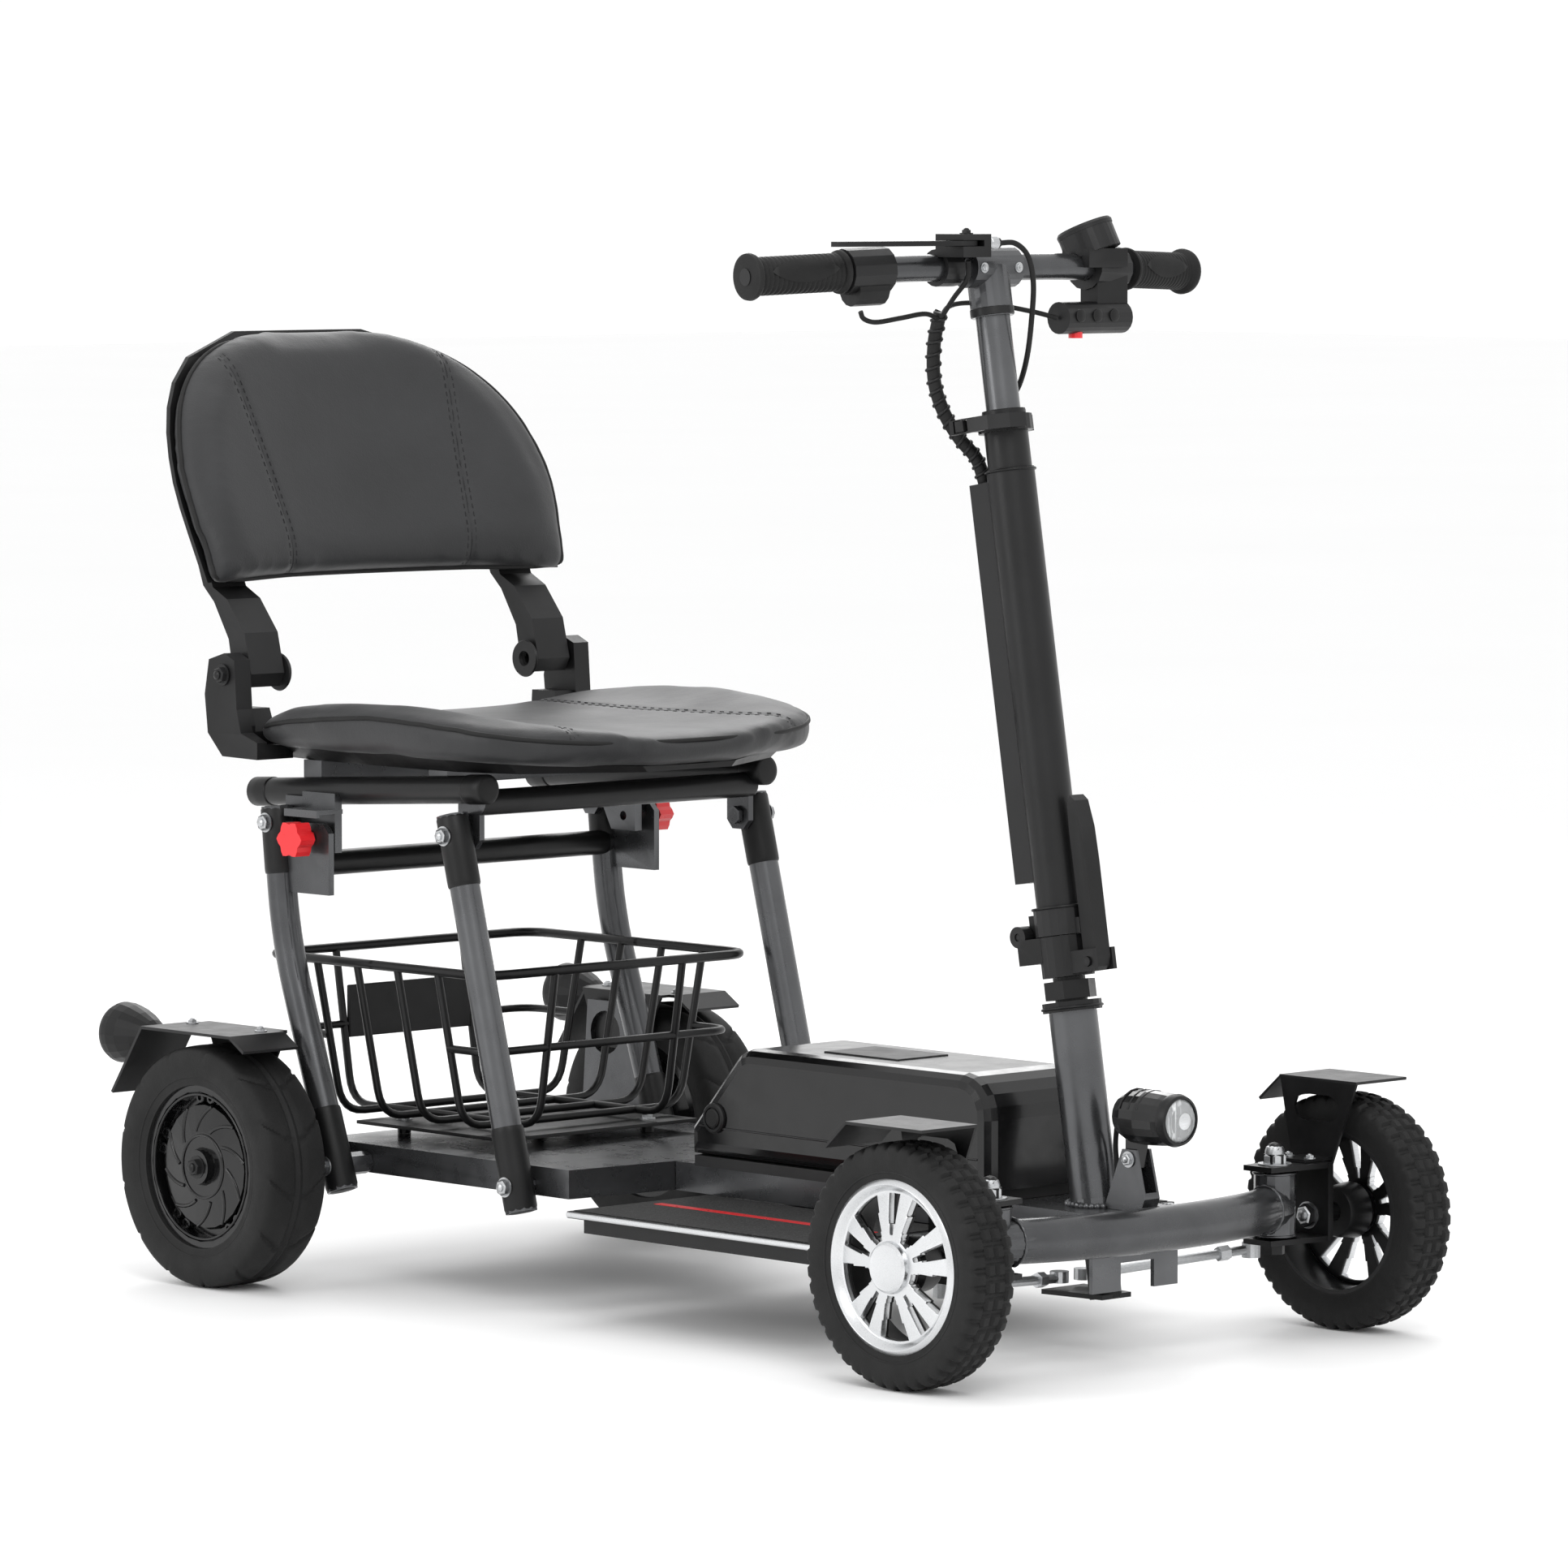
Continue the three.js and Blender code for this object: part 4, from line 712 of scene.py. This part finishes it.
# ---------------------------------------------------------------- basket of round wire
def wire(name, points, radius, bend):
    """A bent round wire, in mm."""
    return tube(name, bent(points, bend * MM, 6), radius * MM, BLACK_METAL, "chassis", 12)


def half_hoop(half, start, end, z):
    """A level hoop's half: out along one side, across the end and back along the other side."""
    return [at(x, y, z) for x, y in ((-half, start), (-half, end), (half, end), (half, start))]


HALF_TOP, HALF_LOW, NEAR_Y, FAR_Y, RIM_Z, MID_Z, LOW_Z = 156.5, 128, 210, 505, 280, 212, 142
HALF_MID = HALF_TOP - (HALF_TOP - HALF_LOW) * (RIM_Z - MID_Z) / (RIM_Z - LOW_Z) + 1
MIDDLE_Y = (NEAR_Y + FAR_Y) / 2
for label, end, other in (("front", NEAR_Y, MIDDLE_Y + 2), ("rear", FAR_Y, MIDDLE_Y - 2)):
    route = half_hoop(HALF_TOP, other, end, RIM_Z)
    wire(f"basket_rim_{label}", route, 4.2, 28)
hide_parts("basket")
for label, end, other in (("front", NEAR_Y + 11, 272), ("rear", FAR_Y - 11, 434)):
    wire(f"basket_hoop_{label}", half_hoop(HALF_MID, other, end, MID_Z), 3.5, 24)
for y in (272, 326, 380, 434):
    route = [at(-HALF_TOP, y, RIM_Z), at(-HALF_LOW, y, LOW_Z), at(HALF_LOW, y, LOW_Z), at(HALF_TOP, y, RIM_Z)]
    wire(f"basket_cross_wire_{y}", route, 3.5, 25)
for x in (-75, 75):
    route = [at(x, NEAR_Y, RIM_Z), at(x, NEAR_Y + 22, LOW_Z), at(x, FAR_Y - 22, LOW_Z), at(x, FAR_Y, RIM_Z)]
    wire(f"basket_long_wire_{x + 75}", route, 3.5, 25)
plate = [at(-72, 490, 200), at(72, 490, 200), at(72, 490, 247), at(-72, 490, 247)]
slab("basket_rear_plate", plate, Vector((0, 0.004, 0)), BLACK_METAL, "chassis", 0.0012)
for x in (-80, 80):
    for y in (262, 406):
        hex_bolt(f"basket_plate_bolt_{x + 80}_{y}", at(x, y, 134), (0, 0, 1), 5.5, "chassis")


# ---------------------------------------------------------------- lamps
low, high = corners("headlight_lens")
lamp = (low + high) / 2
lamp.y = high.y
turned("headlight_bezel", [(17.8, -1), (21.2, -1), (22, 3), (20.5, 7.5), (18.2, 8.4), (17.8, 7),
    (17.8, -1)], lamp, (0, -1, 0), BLACK_PLASTIC, "headlight", 48)
turned("headlight_led", [(0, 10), (6.5, 10), (7, 12.5), (4, 13.6), (0, 13.9)], lamp, (0, -1, 0), SILVER,
    "headlight", 28)
for k in (2, 4, 6):
    fin = []
    for i in range(9):
        angle = math.pi * (0.12 + 0.76 * i / 8)
        fin.append(at(22.4 * math.cos(angle), -412 - 5 * k, 200 + 22.4 * math.sin(angle)))
    tube(f"headlight_fin_{k}", fin, 0.9 * MM, BLACK_PLASTIC, "headlight", 8)
hex_bolt("headlight_bolt_left", at(9.5, -422, 165), (1, 0, 0), 5, "headlight")
hex_bolt("headlight_bolt_right", at(-9.5, -422, 165), (-1, 0, 0), 5, "headlight")
lead = [at(0, -400, 190), at(3, -396, 186), at(5, -393, 172), at(4, -396, 150), at(0, -398, 136),
    at(-4, -392, 128)]
tube("headlight_lead", flowing(lead, 8), 2.2 * MM, RUBBER, "chassis", 12)
for side_name, side in SIDES:
    low, high = corners(f"tail_lamp_{side_name}")
    eye = Vector(((low.x + high.x) / 2, high.y - 0.0035, (low.z + high.z) / 2))
    lens = [(0, -5), (21.5, -5), (21.5, 1.6), (19, 2.9), (10, 3.4), (0, 3.5)]
    turned(f"tail_lens_{side_name}", lens, eye, (0, 1, 0), RED_LENS, "chassis", 48)
    bezel = [(21.8, -6), (26.6, -6), (27, -3), (25, 2.2), (22.4, 2.9), (21.8, 2), (21.8, -6)]
    turned(f"tail_bezel_{side_name}", bezel, eye, (0, 1, 0), BLACK_PLASTIC, "chassis", 48)
    for y in (404, 498):
        hex_bolt(f"rear_fender_bolt_{side_name}_{y}", at(side * 246, y, 224.3), (0, 0, 1), 4, "chassis")
    for y, z in ((436, 110), (474, 110)):
        hex_bolt(f"axle_bolt_{side_name}_{y}", at(side * 212, y, z), (-side, 0, 0), 6, "chassis")


# ---------------------------------------------------------------- battery
low, high = corners("battery_case")
half = (high.x - low.x) / 2
band_z = low.z + 26 * MM
for side_name, side in SIDES:
    line = [Vector((side * (half + 0.0001), y, band_z)) for y in (low.y + 0.012, high.y - 0.014)]
    tube(f"battery_seam_{side_name}", line, 0.0009, GLOSS_PLASTIC, "battery", 8)
port = Vector((-half, high.y - 0.034, low.z + 0.034))
turned("battery_port", [(0, 0), (13, 0), (13, 2.2), (11.5, 3.4), (9.5, 3.4), (9, 2), (0, 2)], port,
    (-1, 0, 0), BLACK_PLASTIC, "battery", 36)
turned("battery_port_cap", [(0, 2.2), (8.2, 2.2), (8.2, 3.6), (7, 4.6), (0, 4.8)], port, (-1, 0, 0), RUBBER,
    "battery", 32)
lid = rectangle(-0.03, 0.03, low.y + 0.14, low.y + 0.23, high.z - 0.0005)
slab("battery_lid", lid, Vector((0, 0, 0.0016)), BLACK_PLASTIC, "battery", 0.0007)


# ---------------------------------------------------------------- handlebar
BEND = Vector((90, -246, 893))
BAR_END = Vector((256, -226, 887))


def bar_point(side, x):
    """A point on the bar's axis, x mm from the middle plane."""
    t = (x - BEND.x) / (BAR_END.x - BEND.x)
    p = BEND + (BAR_END - BEND) * t
    return at(side * p.x, p.y, p.z)


def ribbed_grip(name, node, side, inner_x, body):
    """A rubber grip: a flange, fine ribs, a smooth diamond thumb panel and a wide end."""
    start = bar_point(side, inner_x)
    end = bar_point(side, 255.5)
    length = (end - start).length / MM
    profile = [(11.5, 0), (17.6, 0), (18.2, 1.2), (17.8, 3.0), (15.6, 4.4)]
    ribs = 17
    pitch = (length - 14) / ribs
    for k in range(ribs):
        at_k = 5 + k * pitch
        profile += [(14.9, at_k), (15.9, at_k + pitch * 0.25), (15.9, at_k + pitch * 0.62),
            (14.9, at_k + pitch * 0.9)]
    profile += [(15.6, length - 8), (18.6, length - 6.4), (19.5, length - 4), (19.0, length - 1.2),
        (16.5, length), (0, length), (0, length - 3), (11.5, length - 3), (11.5, 0)]
    grip = turned(name, profile, start, end - start, RUBBER, body, 40, 50.0)
    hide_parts(node)
    axis = (end - start).normalized()
    for label, turn in (("front", -1), ("rear", 1)):
        out = Vector((0, turn, 0.25)).normalized()
        out = (out - axis * out.dot(axis)).normalized()
        over = axis.cross(out)
        verts, faces = [], []
        for i in range(17):
            t = i / 16
            width = 0.62 * math.sin(math.pi * t) ** 0.7
            for k in range(9):
                angle = width * (-1 + k / 4)
                r = (16.0 + 0.7 * math.sin(math.pi * t) ** 0.5) * MM
                around = out * math.cos(angle) + over * math.sin(angle)
                verts.append(start + axis * (0.012 + t * (length * MM - 0.028)) + around * r)
        for i in range(16):
            for k in range(8):
                a = i * 9 + k
                faces.append((a, a + 1, a + 10, a + 9))
        mesh_piece(f"{name}_panel_{label}", verts, faces, RUBBER, body)
    turned(f"{name}_end_recess", [(0, 0), (6.5, 0), (7.2, 0.8), (0, 0.9)], end, end - start, BLACK_PLASTIC,
        body, 28)


ribbed_grip("left_grip_rubber", "grip_left", 1, 172, "bar")
ribbed_grip("right_grip_rubber", "throttle_grip", -1, 160, "throttle")
straight = [bar_point(-1, 250), at(-90, -246, 893), at(90, -246, 893), bar_point(1, 250)]
overlay("handlebar_skin", bent(straight, 0.024, 8), 11, PAINT, "bar", 32)
turned("tee_clamp_ring", [(17.2, -1), (18.4, 0), (18.4, 6), (17.2, 7), (17.2, -1)], on_stem(853), STEM_UP,
    BLACK_METAL, "bar", 40)
for x in (-20, 20):
    hex_bolt(f"tee_clamp_bolt_{x + 20}", at(x, -262.5, 893), (0, -1, 0), 3.2, "bar")
hex_bolt("brake_pivot_bolt", at(-52, -274, 921), (0, 0, 1), 4.2, "bar", BLACK_METAL)
turned("brake_adjuster", [(0, 0), (4.9, 0), (4.9, 4), (5.4, 4.6), (5.4, 12), (4, 13), (4, 15), (0, 15)],
    at(-33, -277, 913.5), (1, 0, 0), ZINC, "bar", 12, 20.0)
button_top = Vector((0.122, (-238 - CENTRE_Y) * MM, 0.9244))
pod_axis = Vector((-4, 8, 21)).normalized()
turned("pod_window", [(0, -1), (19, -1), (19, 0.6), (17.5, 1.4), (0, 1.6)], button_top - pod_axis * 0.0004,
    pod_axis, GLOSS_PLASTIC, "bar", 44)
turned("pod_rim", [(20, -3), (24.4, -3), (24.6, 0), (23, 2.2), (20.4, 2.4), (20, 1), (20, -3)], button_top,
    pod_axis, BLACK_PLASTIC, "bar", 48)
turned("pod_key_ring", [(0, -0.6), (8, -0.6), (9, 1.5), (7, 2.4), (0, 2.4)], at(155, -250, 850), (1, 0, 0),
    SILVER, "bar", 28)
for k in range(3):
    spot = at(92 + 20 * k, -263.3, 852)
    turned(f"pod_key_{k}", [(0, 0), (5.5, 0), (5.5, 1.6), (4.6, 2.2), (0, 2.3)], spot, (0, -1, 0),
        BLACK_PLASTIC, "bar", 24)


# ---------------------------------------------------------------- cables
TRUNK = [(-38, -229, 856), (-39, -223, 830), (-36, -220, 800), (-30, -224, 775), (-21, -234, 752),
    (-9, -243, 734), (-3.5, -248, 712)]
LEADS = {
    "throttle": [(-140, -240, 858), (-136, -240, 852), (-120, -238, 849), (-90, -236, 852),
        (-60, -234, 855), (-40, -230, 850)],
    "brake": [(-46, -270, 899), (-43, -266, 884), (-39, -246, 868), (-38, -231, 852)],
    "pod": [(78, -250, 850), (62, -240, 855), (36, -222, 861), (10, -212, 863), (-16, -216, 860),
        (-35, -227, 850)],
}
BRAKE_CABLE = [(-17, -277, 913.5), (-3, -282, 913), (10, -284, 902), (17, -283, 880), (19, -279, 850),
    (21, -272, 820), (26, -258, 796), (26, -244, 778), (18, -238, 756), (9, -243, 732), (7, -248, 712)]


def shorten(piece):
    """Gives a cable piece its own copy of its mesh."""
    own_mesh(piece)


trunk_line = flowing([at(*p) for p in TRUNK], 14)
trunk = tube("harness_trunk", trunk_line, 5.6 * MM, RUBBER, "tiller", 20)
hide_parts("wiring_harness")
shorten(trunk)
for label, route in LEADS.items():
    tube(f"harness_lead_{label}", flowing([at(*p) for p in route], 10), 2.1 * MM, RUBBER, "bar", 12)
wrap = []
turns = 17
for i in range(turns * 14):
    t = i / (turns * 14 - 1) * (len(trunk_line) - 1.001)
    k = int(t)
    centre = trunk_line[k].lerp(trunk_line[k + 1], t - k)
    ahead = (trunk_line[k + 1] - trunk_line[k]).normalized()
    side_way = Vector((1, 0, 0)).cross(ahead).normalized()
    other = ahead.cross(side_way)
    angle = 2 * math.pi * i / 14
    wrap.append(centre + (side_way * math.cos(angle) + other * math.sin(angle)) * 5.7 * MM)
shorten(tube("harness_spiral_wrap", wrap, 1.5 * MM, BLACK_PLASTIC, "tiller", 8))
cable_piece = tube("brake_cable_outer", flowing([at(*p) for p in BRAKE_CABLE], 10), 2.3 * MM, RUBBER,
    "tiller", 12)
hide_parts("brake_cable")
shorten(cable_piece)


# ---------------------------------------------------------------- upholstery
def inflate(obj, cap):
    """Swells a closed form as stuffed fabric does, with no point moving further than the cap."""
    before = [v.co.copy() for v in obj.data.vertices]
    cloth = obj.modifiers.new("swell", "CLOTH")
    cloth.settings.use_pressure = True
    cloth.settings.uniform_pressure_force = 4
    cloth.settings.quality = 4
    cloth.settings.effector_weights.gravity = 0
    cloth.settings.tension_stiffness = 25
    cloth.settings.compression_stiffness = 25
    scene = bpy.context.scene
    for step in range(1, 21):
        scene.frame_set(step)
    shown = obj.evaluated_get(bpy.context.evaluated_depsgraph_get())
    after = [v.co.copy() for v in shown.data.vertices]
    obj.modifiers.remove(cloth)
    for vertex, old, new in zip(obj.data.vertices, before, after):
        move = new - old
        if move.length > cap:
            move = move * (cap / move.length)
        vertex.co = old + move
    scene.frame_set(1)


def pad_form(name, columns, rows, place):
    """A closed form between two sheets; place gives a point for a column, a row and a sheet."""
    work = bmesh.new()
    sheets = []
    for sheet in (0, 1):
        sheets.append([[work.verts.new(place(2 * i / columns - 1, k / rows, sheet))
            for i in range(columns + 1)] for k in range(rows + 1)])
    for grid in sheets:
        for k in range(rows):
            for i in range(columns):
                work.faces.new((grid[k][i], grid[k][i + 1], grid[k + 1][i + 1], grid[k + 1][i]))
    under, over = sheets
    for k in (0, rows):
        for i in range(columns):
            work.faces.new((under[k][i], under[k][i + 1], over[k][i + 1], over[k][i]))
    for i in (0, columns):
        for k in range(rows):
            work.faces.new((under[k][i], under[k + 1][i], over[k + 1][i], over[k][i]))
    bmesh.ops.remove_doubles(work, verts=work.verts, dist=1e-5)
    bmesh.ops.recalc_face_normals(work, faces=work.faces)
    mesh = bpy.data.meshes.new(name)
    work.to_mesh(mesh)
    work.free()
    obj = bpy.data.objects.new(name, mesh)
    bpy.context.scene.collection.objects.link(obj)
    return obj


def stuffed(obj, cap, voxel=0.005):
    """Makes a form's mesh even, swells it as a stuffed cover, and eases out the small creases."""
    bpy.context.view_layer.objects.active = obj
    remesh = obj.modifiers.new("voxels", "REMESH")
    remesh.mode = "VOXEL"
    remesh.voxel_size = voxel
    soften = obj.modifiers.new("soften", "SMOOTH")
    soften.factor = 0.6
    soften.iterations = 6
    shown = obj.evaluated_get(bpy.context.evaluated_depsgraph_get())
    dense = bpy.data.meshes.new_from_object(shown)
    obj.modifiers.clear()
    obj.data = dense
    inflate(obj, cap)
    work = bmesh.new()
    work.from_mesh(obj.data)
    for _ in range(8):
        bmesh.ops.smooth_vert(work, verts=work.verts, factor=0.5, use_axis_x=True, use_axis_y=True,
            use_axis_z=True)
    work.to_mesh(obj.data)
    work.free()
    return obj


def rounded(value, power):
    """1 over the middle of a pad, falling to 0 at its edge."""
    return max(0.0, 1 - abs(value) ** power) ** 0.5


def groove(obj, lines, width, depth):
    """Draws the surface in along sewn lines, which are lists of points on it."""
    points = [p for line in lines for p in line]
    for vertex in obj.data.vertices:
        near = min((vertex.co - p).length_squared for p in points)
        if near < (width * 3) ** 2:
            vertex.co -= vertex.normal * depth * math.exp(-near / width ** 2)
    obj.data.update()


def on_surface(obj, points, lift=0.0):
    """The points moved to the nearest place on the piece."""
    tree = BVHTree.FromPolygons([v.co for v in obj.data.vertices],
        [tuple(p.vertices) for p in obj.data.polygons])
    out = []
    for point in points:
        spot, normal, _, _ = tree.find_nearest(point)
        out.append(spot + normal * lift)
    return out


def cast(obj, points, direction, lift=0.0):
    """The points dropped on to the piece along a direction."""
    tree = BVHTree.FromPolygons([v.co for v in obj.data.vertices],
        [tuple(p.vertices) for p in obj.data.polygons])
    out = []
    for point in points:
        spot, normal, _, _ = tree.ray_cast(point, direction)
        if spot is not None:
            out.append(spot + normal * lift)
    return out


def stitches(name, line, body, length=4.2 * MM, gap=2.2 * MM):
    """Dashes of thread beside a seam, as one piece."""
    verts, faces = [], []
    travelled, start = 0.0, None
    for a, b in zip(line, line[1:]):
        step = (b - a).length
        if step < 1e-9:
            continue
        travelled += step
        if start is None:
            start = a
        if travelled >= length + gap:
            ahead = (b - start).normalized()
            finish_at = start + ahead * length
            across = ahead.cross(Vector((0.31, 0.2, 1)).normalized()).normalized() * 0.45 * MM
            over = ahead.cross(across).normalized() * 0.45 * MM
            base = len(verts)
            for centre in (start, start.lerp(finish_at, 0.5), finish_at):
                verts += [centre + across, centre + over, centre - across, centre - over]
            for ring in range(2):
                for k in range(4):
                    o = base + ring * 4
                    faces.append((o + k, o + (k + 1) % 4, o + 4 + (k + 1) % 4, o + 4 + k))
            faces += [(base, base + 1, base + 2, base + 3), (base + 8, base + 9, base + 10, base + 11)]
            travelled, start = 0.0, None
    if verts:
        mesh_piece(name, verts, faces, THREAD, body, 60.0)


def finish_cushion(obj, node, body, seams, direction, edge):
    lines = [cast(obj, seam, direction) for seam in seams]
    groove(obj, lines, 2.8 * MM, 2.3 * MM)
    settle(obj, LEATHER, body, 0)
    obj.data.shade_smooth()
    fine = obj.modifiers.new("fine", "SUBSURF")
    fine.levels = 1
    fine.render_levels = 1
    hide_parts(node)
    for index, seam in enumerate(seams):
        line = cast(obj, seam, direction, -0.0002)
        tube(f"{node}_seam_{index}", line, 0.0007, THREAD, body, 6)
        for label, shift in (("a", 4.2 * MM), ("b", -4.2 * MM)):
            beside = cast(obj, [p + Vector((shift, 0, 0)) for p in seam], direction, 0.0001)
            stitches(f"{node}_stitch_{index}_{label}", beside, body)
    piping = on_surface(obj, edge, 0.0004)
    for _ in range(6):
        nexts = piping[1:] + piping[:1]
        piping = [(piping[i - 1] + p * 2 + nexts[i]) / 4 for i, p in enumerate(piping)]
    tube(f"{node}_piping", piping, 0.0021, RUBBER, body, 10, True)


SEAT_FRONT, SEAT_REAR, SEAT_HALF = 97, 475, 215


def seat_half_width(along):
    """Half the seat's width at a place from -1 at its nose to 1 at its tail."""
    nose = max(0.0, -along - 0.05) / 0.95
    tail = max(0.0, along - 0.3) / 0.7
    return SEAT_HALF * max(0.0, 1 - nose ** 3.2) ** 0.42 * (1 - 0.07 * tail ** 2)


def seat_y(along):
    """The place along the seat, in mm."""
    return SEAT_FRONT + (along + 1) / 2 * (SEAT_REAR - SEAT_FRONT)


def seat_wing(along):
    """Height of the seat's raised edge."""
    return 521 - 30 * max(0.0, -along - 0.1) ** 1.6 - 20 * max(0.0, along) ** 1.8


def mirrored(points):
    """The points on the other side of the middle plane, in the opposite order."""
    return [Vector((-p.x, p.y, p.z)) for p in reversed(points)]


seat_seams = []
for side in (1, -1):
    seam = []
    for i in range(70):
        t = -0.93 + 1.86 * i / 69
        reach = 104 + 30 * max(0.0, -t) ** 1.5 + 14 * max(0.0, t) ** 2
        seam.append(at(side * min(reach, seat_half_width(t) - 12), seat_y(t), 600))
    seat_seams.append(seam)
left_edge = []
for i in range(110):
    t = -0.985 + 1.97 * i / 109
    left_edge.append(at(seat_half_width(t), seat_y(t), seat_wing(t) - 14))
rear_edge = [at(x, SEAT_REAR, 484) for x in range(180, -181, -20)]
seat_ring = left_edge + rear_edge + mirrored(left_edge)


def seat_place(across, row, sheet):
    """A point of the seat: a dished pan between two raised wings, with rounded edges."""
    along = -1 + 2 * (row ** 1.35 if row < 1 else 1.0)
    x = across * (seat_half_width(max(-0.999, along)) - 3 - (0 if sheet else 5))
    under = 463 + 11 * (x / SEAT_HALF) ** 2
    if not sheet:
        return at(x, seat_y(along) + (5 if along < -0.9 else 0), under)
    pan = 487 - 3 * max(0.0, -along) ** 2 + 2 * max(0.0, along)
    top = pan + (seat_wing(along) - pan) * abs(across) ** 2.6
    fall = rounded(across, 14) * rounded(along, 30)
    return at(x, seat_y(along), under + (top - under) * (0.5 + 0.5 * fall))


seat_pad = stuffed(pad_form("seat_pad", 60, 60, seat_place), 0.004)
finish_cushion(seat_pad, "seat_cushion", "seat", seat_seams, Vector((0, 0, -1)), seat_ring)

BACK_LOW, BACK_TOP, BACK_HALF, BACK_WRAP, BACK_LEAN = 606, 832, 221, 42, 0.41


def back_half_width(z):
    """Half the backrest's width at a height."""
    t = max(0.0, (z - 645) / (BACK_TOP - 645))
    waist = 1 - 0.05 * max(0.0, (690 - z) / 86)
    return BACK_HALF * (1 - min(t, 0.9995) ** 2.9) ** (1 / 2.7) * waist


def back_y(x, z):
    """The middle of the backrest's padding: leaning back with height, and curling forward at its sides."""
    return 539 + BACK_LEAN * (z - BACK_LOW) - BACK_WRAP * (x / BACK_HALF) ** 2


back_seams = []
for side in (1, -1):
    seam = []
    for i in range(60):
        t = 0.03 + 0.94 * i / 59
        seam.append(at(side * (104 + 28 * t ** 1.4), 300, BACK_LOW + t * (BACK_TOP - BACK_LOW)))
    back_seams.append(seam)
left_edge = []
for i in range(120):
    z = BACK_LOW + 4 + (BACK_TOP - BACK_LOW - 8) * i / 119
    left_edge.append(at(back_half_width(z), back_y(back_half_width(z), z) + 6, z))
low_edge = [at(x, back_y(x, BACK_LOW) + 6, BACK_LOW) for x in range(-195, 196, 15)]
back_ring = left_edge + mirrored(left_edge) + low_edge


def back_place(across, row, sheet):
    """A point of the backrest: flat behind, crowned in front, with rounded edges."""
    up = 1 - (1 - row) ** 1.8
    z = BACK_LOW + 2 + up * (BACK_TOP - BACK_LOW - 3)
    x = across * (back_half_width(z) - 1)
    fall = rounded(across, 9) * rounded(2 * up - 1, 12)
    return at(x, back_y(x, z) + (15 if not sheet else 7 - 24 * fall), z)


back_pad = stuffed(pad_form("backrest_pad", 60, 60, back_place), 0.004)
finish_cushion(back_pad, "backrest_cushion", "backrest", back_seams, Vector((0, 1, 0)), back_ring)

for side_name, side in SIDES:
    hinge = at(side * 210, 498, 530)
    hex_bolt(f"back_hinge_bolt_{side_name}", hinge, (side, 0, 0), 7, "seat", BLACK_METAL)
    turned(f"back_hinge_boss_{side_name}", [(6, 0), (16, 0), (17, 1.5), (16, 3), (7, 3), (6, 0)],
        at(side * 147, 498, 530), (-side, 0, 0), BLACK_PLASTIC, "backrest", 36)


# ---------------------------------------------------------------- stage, light and camera
floor_mesh = bpy.data.meshes.new("floor")
floor_mesh.from_pydata([(-30, -30, 0), (30, -30, 0), (30, 30, 0), (-30, 30, 0)], [], [(0, 1, 2, 3)])
floor = bpy.data.objects.new("floor", floor_mesh)
bpy.context.scene.collection.objects.link(floor)
floor_look, nodes, links, base, place = shader("studio_floor")
links.new(ramp(nodes, links, noise(nodes, links, place, 0.6),
    [(0.2, (0.93, 0.93, 0.93)), (0.8, (0.95, 0.95, 0.95))]), base.inputs["Base Color"])
base.inputs["Roughness"].default_value = 0.6
floor_mesh.materials.append(floor_look)

world = bpy.data.worlds.new("studio")
world.use_nodes = True
world.node_tree.nodes["Background"].inputs["Color"].default_value = (1.0, 1.0, 1.0, 1.0)
world.node_tree.nodes["Background"].inputs["Strength"].default_value = 1.04
bpy.context.scene.world = world
bpy.context.scene.view_settings.view_transform = "Standard"


def panel(name, place, target, size, power):
    """A square soft light aimed at a point."""
    data = bpy.data.lights.new(name, "AREA")
    data.energy = power
    data.size = size
    lamp_object = bpy.data.objects.new(name, data)
    lamp_object.location = place
    lamp_object.rotation_euler = (Vector(target) - Vector(place)).to_track_quat("-Z", "Y").to_euler()
    bpy.context.scene.collection.objects.link(lamp_object)


panel("key_panel", (-1.6, -2.6, 2.8), (0, 0, 0.4), 1.6, 34)
panel("side_panel", (-3.2, 0.6, 1.6), (0, 0, 0.4), 1.4, 24)
panel("rear_panel", (2.2, 2.4, 2.4), (0, 0, 0.5), 1.6, 26)
panel("top_panel", (0.2, 0.2, 3.4), (0, 0, 0.5), 2.0, 16)

camera_data = bpy.data.cameras.new("camera")
camera_data.lens = 190.93
camera_data.sensor_width = 36.0
camera = bpy.data.objects.new("camera", camera_data)
camera.location = at(-4857, -5161, 980)
camera.rotation_euler = (at(0, 0, 450) - camera.location).to_track_quat("-Z", "Y").to_euler()
bpy.context.scene.collection.objects.link(camera)
bpy.context.scene.camera = camera
